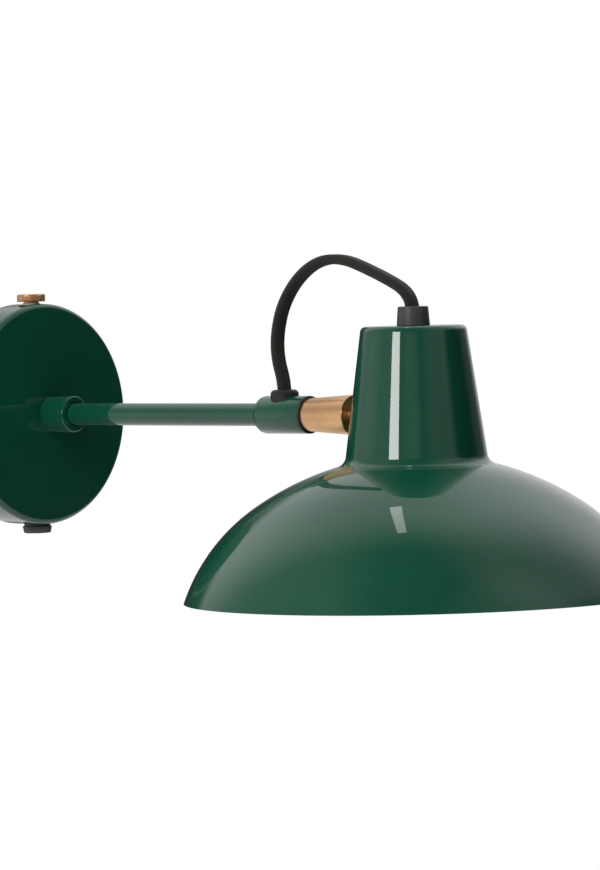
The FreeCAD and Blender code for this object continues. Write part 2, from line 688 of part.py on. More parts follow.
def make_terminal_block():
    """Block on the bracket's upright arm: a wire hole down through each pole, a screw above."""
    body = new_body("terminal_block", (S["plate_thickness"], 0, S["block_bottom"]))
    sketch = new_sketch(body, "YZ_Plane", "block_face")
    half = S["block_width"] / 2
    box_outline(sketch, -half, half, 0, S["block_height"])
    pad(body, "block", sketch, S["block_depth"])
    wires = new_sketch(body, "XY_Plane", "wire_holes")
    seats = new_sketch(body, "YZ_Plane", "screw_holes", S["block_depth"])
    for y in block_spots():
        ring(wires, S["block_wire_radius"], S["block_depth"] / 2, y)
        ring(seats, S["screw_radius"] + S["seat_gap"], y, S["block_height"] / 2)
    pocket(body, "wire_holes_cut", wires, S["block_height"], forwards=True)
    pocket(body, "screw_holes_cut", seats, S["screw_length"] + S["seat_gap"])


def make_terminal_screws():
    """One screw to each pole of the terminal block."""
    level = S["block_bottom"] + S["block_height"] / 2
    screws("terminal_screws", [(-level, y) for y in block_spots()],
           (S["plate_thickness"] + S["block_depth"], 0, 0), ((0, 1, 0), 90))


def make_thumbscrew_washer():
    """Soft washer that sits on the cup's round side and gives the thumbscrew a flat seat."""
    body = new_body("thumbscrew_washer", (S["cup_fixings_x"], 0, 0))
    bore = S["thumb_thread_radius"] + S["hole_gap"]
    outer = S["thumb_washer_radius"]
    low = leg(CUP_RADIUS, outer) - S["seat_gap"]
    high = CUP_RADIUS + S["thumb_washer_height"]
    turned(body, "washer_ring", [(bore, low), (outer, low), (outer, high), (bore, high)],
           axis="V_Axis")
    turned_cut(body, "cup_side_cut", [(-outer * 1.5, 0), (outer * 1.5, 0),
                                      (outer * 1.5, CUP_RADIUS), (-outer * 1.5, CUP_RADIUS)])


def make_thumbscrew():
    """Turned screw with a straight-knurled head, a collar and a long thread."""
    body = new_body("thumbscrew",
                    (S["cup_fixings_x"], 0, CUP_RADIUS + S["thumb_washer_height"]))
    shank = S["thumb_thread_radius"]
    collar = S["thumb_collar_radius"]
    low = S["thumb_collar_height"]
    head = S["thumb_head_diameter"] / 2
    top = low + S["thumb_head_height"]
    edge = S["thumb_edge"]
    turned(body, "screw_turning", [
        (0, -S["thumb_length"]), (shank - edge, -S["thumb_length"]),
        (shank, edge - S["thumb_length"]), (shank, 0), (collar, 0), (collar, low),
        (head - edge, low), (head, low + edge), (head, top - edge), (head - edge, top), (0, top),
    ], axis="V_Axis")
    groove = new_sketch(body, "XY_Plane", "knurl_groove")
    depth = S["thumb_knurl_depth"]
    outline(groove, [(head - depth, 0), (head + depth, depth * -1.6), (head + depth, depth * 1.6)])
    cut = pocket(body, "knurl_cut", groove, top, forwards=True)
    around(body, "knurling", cut, S["thumb_knurls"])


# ---------------------------------------------------------------- switch under the cup

def make_switch_body():
    """Round switch inside the cup, with a threaded collar out through the cup's side."""
    at = (S["cup_fixings_x"], 0, -SWITCH_BACK)
    body = new_body("switch_body", at)
    collar = S["switch_thread_radius"] - S["seat_gap"]
    stem = S["button_stem_radius"] + S["button_gap"]
    collar_end = SWITCH_BACK - CUP_RADIUS - S["switch_ring_height"]
    stem_room = (SWITCH_BACK - CUP_RADIUS - S["button_lift"]
                 + S["button_stem_length"] + S["button_travel"] * 2)
    turned(body, "switch_turning", [
        (stem, collar_end), (collar, collar_end), (collar, 0), (S["switch_radius"], 0),
        (S["switch_radius"], S["switch_height"]), (0, S["switch_height"]), (0, stem_room),
        (stem, stem_room),
    ], axis="V_Axis")


def make_switch_tabs():
    """Two solder tabs on the switch's inner end."""
    tabs = []
    for side, name in ((1, "front"), (-1, "rear")):
        tab = doc.addObject("Part::Box", f"{name}_tab")
        bind(tab, "Length", S["switch_tab_thickness"])
        bind(tab, "Width", S["switch_tab_width"])
        bind(tab, "Height", S["switch_tab_length"])
        place(tab, (S["switch_tab_place"] * side - S["switch_tab_thickness"] / 2,
                    -S["switch_tab_width"] / 2, 0))
        tabs.append(tab)
    group = doc.addObject("Part::Compound", "switch_tabs")
    group.Links = tabs
    group.Label = "switch_tabs"
    place(group, (S["cup_fixings_x"], 0, S["switch_height"] - SWITCH_BACK))
    nodes.append(group)


def make_switch_ring_nut():
    """Ring nut outside the cup, its upper side following the cup's round side."""
    body = new_body("switch_ring_nut", (S["cup_fixings_x"], 0, 0))
    bore = S["switch_thread_radius"]
    outer = S["switch_ring_radius"]
    low = -CUP_RADIUS - S["switch_ring_height"]
    high = S["seat_gap"] - leg(CUP_RADIUS, outer)
    turned(body, "ring_nut_ring", [(bore, low), (outer, low), (outer, high), (bore, high)],
           axis="V_Axis")
    turned_cut(body, "cup_side_cut", [(-outer * 1.5, 0), (outer * 1.5, 0),
                                      (outer * 1.5, CUP_RADIUS), (-outer * 1.5, CUP_RADIUS)])


def make_switch_button():
    """Tapered button: a hollow that slides over the ring nut, and a stem into the switch."""
    rest = CUP_RADIUS + S["button_lift"]
    body = new_body("switch_button", (S["cup_fixings_x"], 0, -rest))
    edge = S["button_edge"]
    tip = S["button_tip_radius"]
    low = -S["button_height"]
    hollow = S["switch_ring_radius"] + S["button_gap"]
    stem = S["button_stem_radius"]
    turned(body, "button_turning", [
        (0, low), (tip - edge, low), (tip, low + edge), (S["button_skirt_radius"], 0),
        (hollow, 0), (hollow, -S["button_hollow"]), (stem, -S["button_hollow"]),
        (stem, S["button_stem_length"]), (0, S["button_stem_length"]),
    ], axis="V_Axis")


# ---------------------------------------------------------------- arm

def make_arm_hub():
    """Turned collar on the cup's land, with an eased outer edge and a countersunk bore."""
    body = new_body("arm_hub")
    radius = S["hub_diameter"] / 2
    edge = S["hub_edge"]
    sink = S["hub_countersink"]
    end = S["hub_end"]
    turned(body, "hub_turning", [
        (S["cup_height"], TUBE_HOLE), (S["cup_height"], radius), (end - edge, radius),
        (end, radius - edge), (end, TUBE_HOLE + sink), (end - sink, TUBE_HOLE),
    ])


def make_arm_sleeve():
    """Turned sleeve: rounded closed end on the tube, cord chamber, thick threaded front."""
    body = new_body("arm_sleeve")
    start = S["sleeve_start"]
    edge = S["sleeve_edge_radius"]
    chamber_end = TUBE_END + S["chamber_length"]
    turned(body, "sleeve_turning", [
        (start, TUBE_HOLE), *rounding(start + edge, SLEEVE_RADIUS - edge, edge, (180, 150, 120, 90)),
        (SLEEVE_END, SLEEVE_RADIUS), (SLEEVE_END, PIVOT_SEAT), (chamber_end, PIVOT_SEAT),
        (chamber_end, S["chamber_radius"]), (TUBE_END, S["chamber_radius"]),
        (TUBE_END, TUBE_HOLE),
    ])
    hole = new_sketch(body, "XY_Plane", "cord_hole")
    ring(hole, S["cord_hole_radius"], CORD_EXIT)
    pocket(body, "cord_hole_cut", hole, S["sleeve_diameter"], forwards=True)
    pin = new_sketch(body, "YZ_Plane", "stop_pin_hole", SLEEVE_END)
    ring(pin, S["stop_radius"] + S["seat_gap"], 0, -S["stop_place"])
    depth = S["stop_length"] - S["stop_reach"] - S["washer_height"]
    pocket(body, "stop_pin_hole_cut", pin, depth)


def make_cord_grommet():
    """Rubber grommet: a thick flange that straddles the sleeve, a neck through the sleeve's
    wall, and a slot for the flat cord."""
    body = new_body("cord_grommet", (CORD_EXIT, 0, 0))
    flange = S["grommet_radius"]
    edge = S["grommet_edge_radius"]
    top = SLEEVE_RADIUS + S["grommet_height"]
    under = leg(SLEEVE_RADIUS, flange) - S["seat_gap"]
    turned(body, "flange", [(0, under), (flange, under),
                            *rounding(flange - edge, top - edge, edge, (0, 45, 90)), (0, top)],
           axis="V_Axis")
    turned_cut(body, "sleeve_cut", [(-flange * 1.2, 0), (flange * 1.2, 0),
                                    (flange * 1.2, SLEEVE_RADIUS), (-flange * 1.2, SLEEVE_RADIUS)])
    neck = new_sketch(body, "XY_Plane", "grommet_neck", S["grommet_foot"])
    ring(neck, S["cord_hole_radius"] - S["seat_gap"])
    pad(body, "neck", neck, top - edge - S["grommet_foot"])
    slot = new_sketch(body, "XY_Plane", "cord_slot")
    slot_outline(slot, S["cord_width"] / 2 + S["cord_gap"], S["cord_thickness"] / 2 + S["cord_gap"],
                 upright=True)
    pocket(body, "cord_slot_cut", slot, top * 2, forwards=True)


# ---------------------------------------------------------------- swivel between arm and shade

def make_friction_washer():
    """Black washer between the sleeve and the brass cone, held from turning by the stop pin."""
    body = tube("friction_washer", (0, 0, 0), SLEEVE_END, CONE_START, SLEEVE_RADIUS, PIVOT_BORE)
    hole = new_sketch(body, "YZ_Plane", "pin_hole", CONE_START)
    ring(hole, S["stop_radius"] + S["seat_gap"], 0, -S["stop_place"])
    pocket(body, "pin_hole_cut", hole, S["washer_height"])


def make_stop_pin():
    """Pin pressed into the sleeve, reaching into the cone's groove to stop its turn."""
    end = CONE_START + S["stop_reach"]
    body = new_body("stop_pin", (0, 0, -S["stop_place"]))
    turned(body, "pin_turning", [(end - S["stop_length"], 0),
                                 (end - S["stop_length"], S["stop_radius"]),
                                 (end, S["stop_radius"]), (end, 0)])


def make_swivel_cone():
    """Brass cone that turns with the shade: a kidney groove for the stop pin in its arm side,
    and a spigot whose end is cut to lie on the neck."""
    body = new_body("swivel_cone", (CONE_START, 0, 0))
    edge = S["cone_edge"]
    small = S["cone_small_radius"]
    large = S["cone_large_radius"]
    length = S["cone_length"]
    axis_x = SHADE_AXIS - CONE_START
    spigot = S["spigot_radius"]
    spigot_end = axis_x - S["neck_radius"] + spigot / 2
    turned(body, "cone_turning", [
        (0, PIVOT_BORE), (0, small - edge), (edge, small), (length - edge, large),
        (length, large - edge), (length, spigot), (spigot_end, spigot), (spigot_end, PIVOT_BORE),
    ])
    reach = spigot * 2
    turned_cut(body, "neck_cut", [
        (axis_x - neck_outside(-reach), -reach), (axis_x, -reach), (axis_x, reach),
        (axis_x - neck_outside(reach), reach),
    ], axis_x=axis_x)
    half_width = S["stop_radius"] + S["stop_gap"]
    depth = S["stop_reach"] + S["stop_gap"] * 2
    inner = S["stop_place"] - half_width
    outer = S["stop_place"] + half_width
    profile = new_sketch(body, "XZ_Plane", "kidney_profile")
    box_outline(profile, 0, depth, -outer, -inner)
    kidney = body.newObject("PartDesign::Groove", "kidney_groove")
    kidney.Profile = profile
    kidney.ReferenceAxis = (profile, ["H_Axis"])
    kidney.Midplane = True
    bind(kidney, "Angle", S["swivel_half_turn"] * 2)
    ends = new_sketch(body, "YZ_Plane", "kidney_ends")
    across = S["stop_place"] * sine(S["swivel_half_turn"])
    down = -S["stop_place"] * cosine(S["swivel_half_turn"])
    for side in (1, -1):
        ring(ends, half_width, across * side, down)
    pocket(body, "kidney_ends_cut", ends, depth, forwards=True)


def make_pivot_stud():
    """Stud screwed into the sleeve, through the cone and the neck's wall to its nut."""
    end = PIVOT_NUT_FACE + S["pivot_nut_height"] + S["pivot_end"]
    start = SLEEVE_END - S["pivot_depth"]
    body = new_body("pivot_stud")
    turned(body, "stud_turning", [(start, 0), (start, S["pivot_radius"]),
                                  (end, S["pivot_radius"]), (end, 0)])


def make_saddle_washer():
    """Washer inside the neck: its back follows the neck's round wall, its face is flat."""
    body = new_body("saddle_washer", (SHADE_AXIS, 0, 0))
    outer = S["saddle_radius"]
    bore = S["pivot_radius"] + S["hole_gap"]
    back = -neck_inside(-outer)
    turned(body, "washer_turning", [(back, bore), (back, outer), (-SADDLE_FACE, outer),
                                    (-SADDLE_FACE, bore)])
    reach = outer * 1.5
    far = S["neck_radius"] * 1.5
    turned_cut(body, "neck_cut", [
        (-neck_inside(reach), reach), (-far, reach), (-far, -reach), (-neck_inside(-reach), -reach),
    ], axis="V_Axis")


def make_spring_washer():
    """Disc spring that keeps the swivel under friction."""
    start = SHADE_AXIS - SADDLE_FACE
    tube("spring_washer", (0, 0, 0), start, PIVOT_NUT_FACE, S["spring_washer_radius"], PIVOT_SEAT)


# ---------------------------------------------------------------- shade and its fittings

def make_shade():
    """Spun shade: flat top, tapered neck, small hollow, then a dome of two tangent arcs whose
    upper one is centred on the shade's axis. The top's edge and the hollow are in straight
    steps."""
    body = new_body("shade", (SHADE_AXIS, 0, 0))
    wall = S["shade_wall"]
    edge = S["neck_edge_radius"]
    foot = S["foot_radius"]
    crown = S["crown_radius"]
    shoulder = S["shoulder_radius"]
    rim = S["shade_diameter"] / 2
    hole = S["nipple_radius"] + S["hole_gap"]
    slope = S["neck_slope"]
    lean = NECK_LEAN
    # the top's rounding: its centre is one radius inside the cone and under the top
    edge_z = S["neck_top"] - edge
    edge_r = neck_outside(edge_z) - edge * lean
    # the lower arc's centre lies so that the arc ends at the rim
    rise = S["shoulder_centre_drop"] - S["rim_drop"]
    low_z = -S["shoulder_centre_drop"]
    low_r = rim - leg(shoulder, rise)
    # the upper arc's centre is on the axis, one difference of radii from the lower centre
    lift = leg(crown - shoulder, low_r)
    high_z = low_z - lift
    # the hollow's centre is one radius outside both the cone and the crown
    base = S["neck_radius"] + foot * lean - slope * high_z
    outer = crown + foot
    climb = (base * slope + root(lean * lean * outer * outer - base * base)) / (lean * lean)
    foot_z = high_z + climb
    foot_r = base - slope * climb

    def on_edge(radius):
        return edge_r + radius / lean, edge_z + radius * slope / lean

    def on_foot(radius):
        return foot_r - radius / lean, foot_z - radius * slope / lean

    def on_crown(radius):
        return foot_r * radius / outer, high_z + climb * radius / outer

    def on_joint(radius):
        return low_r * radius / (crown - shoulder), high_z + lift * radius / (crown - shoulder)

    outside = [(hole, S["neck_top"]), *rounding(edge_r, edge_z, edge, (90, 62, 35)),
               on_edge(edge), on_foot(foot), *rounding(foot_r, foot_z, foot, (210, 232)),
               on_crown(crown), on_joint(crown), (rim, -S["rim_drop"])]
    inside = [(low_r + leg(shoulder - wall, rise), -S["rim_drop"]), on_joint(crown - wall),
              on_crown(crown - wall), *rounding(foot_r, foot_z, foot + wall, (232, 210)),
              on_foot(foot + wall), on_edge(edge - wall), (edge_r, NECK_FLOOR),
              (hole, NECK_FLOOR)]
    low = len(outside)
    turned(body, "shade_sheet", outside + inside, {
        low - 3: (crown, -1), low - 2: (shoulder, -1),
        low: (shoulder - wall, 1), low + 1: (crown - wall, 1)}, axis="V_Axis")
    side = new_sketch(body, "YZ_Plane", "pivot_hole")
    ring(side, S["pivot_radius"] + S["hole_gap"])
    pocket(body, "pivot_hole_cut", side, S["neck_radius"] * 2)


def make_cord_grip():
    """Turned grip on the neck's top: threaded below, a slot for the flat cord above, and a
    radial screw hole on the side away from view."""
    body = new_body("cord_grip", (SHADE_AXIS, 0, S["neck_top"]))
    top = S["grip_height"]
    edge = S["grip_edge"]
    mouth = S["grip_top_radius"]
    depth = S["grip_thread_depth"]
    turned(body, "grip_turning", [
        (NIPPLE_HOLE, 0), (S["grip_base_radius"], 0), (mouth, top - edge), (mouth - edge, top),
        (0, top), (0, depth), (NIPPLE_HOLE, depth),
    ], axis="V_Axis")
    slot = new_sketch(body, "XY_Plane", "cord_slot")
    gap = S["grip_slot_gap"]
    slot_outline(slot, S["cord_width"] / 2 + gap, S["cord_thickness"] / 2 + gap, upright=True)
    pocket(body, "cord_slot_cut", slot, top, forwards=True)
    side = new_sketch(body, "XZ_Plane", "screw_hole")
    ring(side, S["grip_screw_radius"], 0, depth / 2)
    pocket(body, "screw_hole_cut", side, S["grip_base_radius"] * 2)


def make_grip_screw():
    """Grub screw with a hexagon socket, tight against the nipple."""
    depth = S["grip_thread_depth"] / 2
    body = new_body("grip_screw", (SHADE_AXIS, NIPPLE_HOLE, S["neck_top"] + depth),
                    ((1, 0, 0), -90))
    length = S["grip_base_radius"] - NIPPLE_HOLE - S["hole_gap"]
    radius = S["grip_screw_radius"] - S["seat_gap"]
    turned(body, "grub_turning", [(0, 0), (radius, 0), (radius, length), (0, length)],
           axis="V_Axis")
    socket = new_sketch(body, "XY_Plane", "hexagon_socket", length)
    hex_outline(socket, radius)
    pocket(body, "socket_cut", socket, length / 2)


def make_threaded_nipple():
    """Hollow threaded nipple from the grip through the neck's top into the lampholder."""
    top = S["neck_top"] + S["grip_thread_depth"]
    upright_tube("threaded_nipple", (SHADE_AXIS, 0, 0), top - S["nipple_length"], top,
                 S["nipple_radius"], S["nipple_bore_radius"])


def make_lampholder_cap():
    """Domed cap of the lampholder with its threaded boss."""
    body = new_body("lampholder_cap", (SHADE_AXIS, 0, HOLDER_TOP))
    boss = S["holder_boss_radius"]
    outer = S["holder_radius"]
    cavity = HOLDER_CAVITY - S["holder_ledge"]
    dome = outer - boss
    dome_foot = -S["holder_boss_height"] - dome
    turned(body, "cap_turning", [
        (NIPPLE_HOLE, 0), (boss, 0), *rounding(boss, dome_foot, dome, (90, 60, 30, 0)),
        (outer, HOLDER_JOIN), (cavity, HOLDER_JOIN), (cavity, dome_foot),
        (boss, dome_foot + cavity - boss), (NIPPLE_HOLE, dome_foot + cavity - boss),
    ], axis="V_Axis")


def make_lampholder_skirt():
    """Skirt of the lampholder: a wider band round its top, a step for the insert and a lip
    inside."""
    body = new_body("lampholder_skirt", (SHADE_AXIS, 0, HOLDER_TOP))
    outer = S["holder_radius"]
    waist = outer - S["holder_ring_depth"]
    ring_height = S["holder_ring_height"]
    mouth = -S["holder_height"]
    step = HOLDER_CAVITY - S["holder_wall"]
    lip = S["socket_radius"] + S["socket_wall"] * 2
    turned(body, "skirt_turning", [
        (HOLDER_CAVITY, HOLDER_JOIN), (outer, HOLDER_JOIN), (outer, HOLDER_JOIN - ring_height),
        (waist, HOLDER_JOIN - ring_height), (waist, mouth), (lip, mouth),
        (lip, mouth + S["holder_lip"]), (step, mouth + S["holder_lip"]), (step, INSERT_FOOT),
        (HOLDER_CAVITY, INSERT_FOOT),
    ], axis="V_Axis")


def make_lampholder_insert():
    """Ceramic disc held between cap and skirt, with a hollow for the centre contact."""
    body = new_body("lampholder_insert", (SHADE_AXIS, 0, HOLDER_TOP))
    radius = HOLDER_CAVITY - S["seat_gap"]
    hollow = S["insert_hollow_radius"]
    turned(body, "insert_turning", [
        (0, CONTACT_SEAT), (hollow, CONTACT_SEAT), (hollow, INSERT_FOOT), (radius, INSERT_FOOT),
        (radius, HOLDER_JOIN), (0, HOLDER_JOIN),
    ], axis="V_Axis")
    holes = new_sketch(body, "XY_Plane", "screw_holes", HOLDER_JOIN)
    for side in (1, -1):
        ring(holes, S["screw_radius"] + S["seat_gap"], S["holder_screw_place"] * side)
    pocket(body, "screw_holes_cut", holes, S["screw_length"] + S["seat_gap"])


def make_centre_contact():
    """Centre contact in the insert's hollow: a stem and a wider tip with an eased edge."""
    body = new_body("centre_contact", (SHADE_AXIS, 0, HOLDER_TOP + CONTACT_SEAT))
    radius = S["contact_radius"]
    height = S["contact_height"]
    neck = radius / 2
    turned(body, "contact_turning", [(0, -height), (radius - height / 2, -height),
                                     (radius, height / -2), (neck, height / -2), (neck, 0),
                                     (0, 0)], axis="V_Axis")


def make_thread_shell():
    """Screw shell for the lamp."""
    low = S["socket_setback"] - S["holder_height"]
    upright_tube("thread_shell", (SHADE_AXIS, 0, HOLDER_TOP), low, INSERT_FOOT,
                 S["socket_radius"] + S["socket_wall"], S["socket_radius"])


# ---------------------------------------------------------------- cords

def round_route(points):
    """Straight runs joined by tangent arcs, each as large as its two runs allow.
    Gives the edges in order and the arcs' radii."""
    corners = [FreeCAD.Vector(x, 0, z) for x, z in points]
    edges, radii = [], []
    begin = corners[0]
    for before, corner, after in zip(corners, corners[1:], corners[2:]):
        back = (before - corner).normalize()
        ahead = (after - corner).normalize()
        half_turn = (math.pi - back.getAngle(ahead)) / 2
        tangent = ARC_SHARE * min(before.distanceToPoint(corner), corner.distanceToPoint(after))
        radius = tangent / math.tan(half_turn)
        start = corner + back * tangent
        finish = corner + ahead * tangent
        inward = (back + ahead).normalize()
        middle = corner + inward * (radius / math.cos(half_turn) - radius)
        edges.append(Part.LineSegment(begin, start).toShape())
        edges.append(Part.Arc(start, middle, finish).toShape())
        radii.append(radius)
        begin = finish
    edges.append(Part.LineSegment(begin, corners[-1]).toShape())
    return edges, radii


def quarter_bend(corner, radius, before, after):
    """Edges of a run, a quarter arc of the given radius and a run, in the plane Y = 0."""
    corner, before, after = (FreeCAD.Vector(x, 0, z) for x, z in (corner, before, after))
    back = (before - corner).normalize()
    ahead = (after - corner).normalize()
    start = corner + back * radius
    finish = corner + ahead * radius
    middle = corner + (back + ahead).normalize() * (radius * (math.sqrt(2) - 1))
    return [Part.LineSegment(before, start).toShape(), Part.Arc(start, middle, finish).toShape(),
            Part.LineSegment(finish, after).toShape()]


def cord_corners():
    """The flat cord's section as (across, up) points: flat faces, and ends rounded in steps."""
    end = S["cord_thickness"] / 2
    flat = S["cord_width"] / 2 - end
    right = rounding(flat, size(0), end, (90, 45, 0, -45, -90))
    return right + [(-x, -y) for x, y in right]


def flat_cord(label, edges):
    """Sweep the flat cord's section along a path in the plane Y = 0."""
    path = Part.Wire(edges)
    start = edges[0].valueAt(edges[0].FirstParameter)
    along = edges[0].tangentAt(edges[0].FirstParameter)
    side = FreeCAD.Vector(0, 1, 0)
    up = along.cross(side)
    corners = [start + side * x.value + up * y.value for x, y in cord_corners()]
    section = Part.makePolygon(corners + corners[:1])
    sweep = Part.BRepOffsetAPI.MakePipeShell(path)
    sweep.setBiNormalMode(side)
    sweep.add(section, False, False)
    sweep.build()
    sweep.makeSolid()
    solid = sweep.shape()
    print(f"{label}: length {path.Length:.2f}, volume over section times length "
          f"{solid.Volume / (Part.Face(section).Area * path.Length):.5f}")
    cord = doc.addObject("Part::Feature", label)
    cord.Label = label
    cord.Shape = solid
    cord.Placement = FreeCAD.Placement()
    nodes.append(cord)


def make_cord_in_arm():
    """Cord from the terminal block through the arm and up into the grommet."""
    exit_x = CORD_EXIT.value
    block_x = S["plate_thickness"].value + S["block_depth"].value / 2
    radius = S["cord_bend_radius"].value
    drop = quarter_bend((block_x, 0), radius, (block_x, S["block_bottom"].value), (exit_x / 2, 0))
    lift = quarter_bend((exit_x, 0), radius, (exit_x / 2, 0), (exit_x, CORD_ROUTE[0][1]))
    flat_cord("cord_in_arm", drop + lift)


def make_cord_arch():
    """The free cord between grommet and grip."""
    edges, radii = round_route(CORD_ROUTE)
    print("cord_arch radii:", ", ".join(f"{r:.1f}" for r in radii))
    flat_cord("cord_arch", edges)


def make_cord_in_shade():
    """Cord from the grip down through the nipple to the ceramic insert."""
    floor = HOLDER_TOP + HOLDER_JOIN
    body = new_body("cord_in_shade", (SHADE_AXIS, 0, floor))
    sketch = new_sketch(body, "XY_Plane", "cord_section")
    outline(sketch, [(up, across) for across, up in cord_corners()])
    pad(body, "cord_run", sketch, S["neck_top"] + S["cord_join_height"] - floor)


# ---------------------------------------------------------------- build, check, write

def build():
    """Make every piece, one node each."""
    make_wall_bracket()
    make_earth_clamp()
    make_earth_screw()
    make_terminal_block()
    make_terminal_screws()
    make_wall_cup()
    make_thumbscrew_washer()
    make_thumbscrew()
    make_switch_body()
    make_switch_tabs()
    make_switch_ring_nut()
    nut("switch_nut", (S["cup_fixings_x"], 0, -SWITCH_BACK - S["nut_height"]), "XY_Plane",
        S["nut_flats"], S["nut_height"], S["switch_thread_radius"])
    make_switch_button()
    lock_washer("hub_washer", (CUP_FLOOR - S["lock_washer_height"], 0, 0), ((0, 1, 0), 90))
    nut("hub_nut", (CUP_FLOOR - S["lock_washer_height"] - S["nut_height"], 0, 0), "YZ_Plane",
        S["nut_flats"], S["nut_height"], TUBE_HOLE)
    make_arm_hub()
    tube("arm_tube", (0, 0, 0), S["tube_start"], TUBE_END, TUBE_RADIUS, TUBE_BORE)
    make_arm_sleeve()
    make_cord_grommet()
    make_friction_washer()
    make_stop_pin()
    make_swivel_cone()
    make_pivot_stud()
    make_saddle_washer()
    make_spring_washer()
    nut("pivot_nut", (PIVOT_NUT_FACE, 0, 0), "YZ_Plane", S["pivot_nut_flats"],
        S["pivot_nut_height"], PIVOT_SEAT)
    make_shade()
    make_cord_grip()
    make_grip_screw()
    make_threaded_nipple()
    lock_washer("nipple_washer", (SHADE_AXIS, 0, NIPPLE_NUT_TOP))
    nut("nipple_locknut", (SHADE_AXIS, 0, NIPPLE_NUT_TOP - S["nut_height"]), "XY_Plane",
        S["nut_flats"], S["nut_height"], NIPPLE_HOLE)
    make_lampholder_cap()
    make_lampholder_skirt()
    make_lampholder_insert()
    make_centre_contact()
    make_thread_shell()
    screws("holder_terminal_screws",
           [(S["holder_screw_place"], 0), (-S["holder_screw_place"], 0)],
           (SHADE_AXIS, 0, HOLDER_TOP + HOLDER_JOIN))
    make_cord_in_arm()
    make_cord_arch()
    make_cord_in_shade()


def write_parts():
    """Recompute, refuse anything that failed, and write one file for each node."""
    doc.recompute()
    for thing in doc.Objects:
        if {"Invalid", "Error"} & set(thing.State):
            raise RuntimeError(f"{thing.Label}: {thing.State}")
    os.makedirs("parts", exist_ok=True)
    for node in nodes:
        shape = node.Shape
        if shape.isNull() or not shape.isValid() or not shape.Solids:
            raise RuntimeError(f"{node.Label} has no sound shape")
        shape.exportStep(f"parts/{node.Label}.step")
        box = shape.BoundBox
        print(f"{node.Label:24s} solids {len(shape.Solids)} volume {shape.Volume:9.1f} "
              f"x {box.XMin:.2f}..{box.XMax:.2f} y {box.YMin:.2f}..{box.YMax:.2f} "
              f"z {box.ZMin:.2f}..{box.ZMax:.2f}")


build()
write_parts()
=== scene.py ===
"""Looks of a wall lamp: wall cup, straight arm, brass swivel and an enamelled dome shade.

Everything is in metres, in the frame of the solids: origin where the arm's axis meets the wall,
+X out of the wall along the arm, +Z up. The shade's own axis is upright, at X = SHADE_X.
"""
import math

import bpy
import numpy as np
from mathutils import Matrix, Vector


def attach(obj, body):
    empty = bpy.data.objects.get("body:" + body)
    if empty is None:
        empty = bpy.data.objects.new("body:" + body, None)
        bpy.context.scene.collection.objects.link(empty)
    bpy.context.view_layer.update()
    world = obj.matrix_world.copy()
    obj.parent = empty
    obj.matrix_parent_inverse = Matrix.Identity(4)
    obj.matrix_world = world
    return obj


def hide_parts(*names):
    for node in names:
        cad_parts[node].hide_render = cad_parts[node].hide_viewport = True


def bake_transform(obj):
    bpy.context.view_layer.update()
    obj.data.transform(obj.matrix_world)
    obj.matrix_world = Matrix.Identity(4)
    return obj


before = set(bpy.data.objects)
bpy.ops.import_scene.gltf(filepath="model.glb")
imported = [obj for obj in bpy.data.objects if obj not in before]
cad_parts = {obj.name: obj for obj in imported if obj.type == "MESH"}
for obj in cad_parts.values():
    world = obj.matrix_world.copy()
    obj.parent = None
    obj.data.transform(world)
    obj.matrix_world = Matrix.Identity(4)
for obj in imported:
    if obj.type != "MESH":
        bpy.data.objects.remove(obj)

bl_info = {
    "name": "Swivel wall lamp",
    "version": (1, 0, 0),
    "blender": (4, 5, 0),
    "location": "3D View > Sidebar > Wall lamp",
    "description": "Builds the finished surfaces of a wall lamp with a swivelling shade",
    "category": "Object",
}

MM = 0.001
ARM_AXIS = "X"
UP_AXIS = "Z"
SHADE_X = 242.2 * MM            # wall to the shade's axis
FIXINGS_X = 8.9 * MM            # wall to the axis of knurled screw and push-button
CORD_EXIT_X = 166.3 * MM        # wall to the grommet's axis
ON_AXIS = 1e-7                  # m, a smaller radius lies on the axis
WHITE = (1, 1, 1, 1)

# Places in mm, along the arm from the wall.
TUBE_START, TUBE_END = 14.0, 161.0
CUP_FACE, HUB_END = 21.2, 35.6
SLEEVE_START, SLEEVE_END = 153.0, 180.4
WASHER_END, CONE_FOOT = 181.27, 181.3
CONE_FRONT, SPIGOT_END = 207.3, 216.5
# Places in mm, up from the arm's axis.
RIM_LEVEL, NECK_TOP, GRIP_FLOOR, GRIP_TOP = -78.0, 38.2, 42.4, 46.4
STUD_HOLE = 3.05                # mm, radius in the washer and the brass cone

# The free cord's route (X, Z) in mm in the plane Y = 0, as the solid follows it.
CORD_ROUTE = [
    (166.3, 8.0), (166.3, 14.3), (162.8, 24.6), (162.8, 35.6), (167.0, 48.6), (176.7, 60.2),
    (189.4, 67.2), (203.6, 67.4), (217.4, 62.6), (229.2, 57.8), (237.8, 53.6), (242.2, 47.6),
    (242.2, 41.4),
]
# The hidden leads, inside the arm and inside the shade's neck.
ARM_LEAD = [(7.5, 21.0), (7.5, 12.0), (7.5, 0.0), (19.5, 0.0), (86.9, 0.0), (154.3, 0.0),
            (166.3, 0.0), (166.3, 8.0)]
SHADE_LEAD = [(242.2, 41.4), (242.2, 28.0), (242.2, 15.3)]

# The photograph's camera, worked out from the outlines of cup, arm and shade.
CAMERA_AZIMUTH = 42.78          # degrees, 0 looks along +Y
CAMERA_ELEVATION = 2.0
CAMERA_ROLL = 1.47
CAMERA_MM_PER_PIXEL = 0.4605    # at the arm's root
CAMERA_DISTANCE = 4800          # in the same pixels
CAMERA_CENTRE = (-279.22, 21.0) # frame's origin in the picture, from its middle, right and up
FRAME_HEIGHT = 870
SENSOR = 36.0


# ---- mesh building

def linked(name, data):
    """A new object of the scene, at the origin."""
    obj = bpy.data.objects.new(name, data)
    bpy.context.scene.collection.objects.link(obj)
    return obj


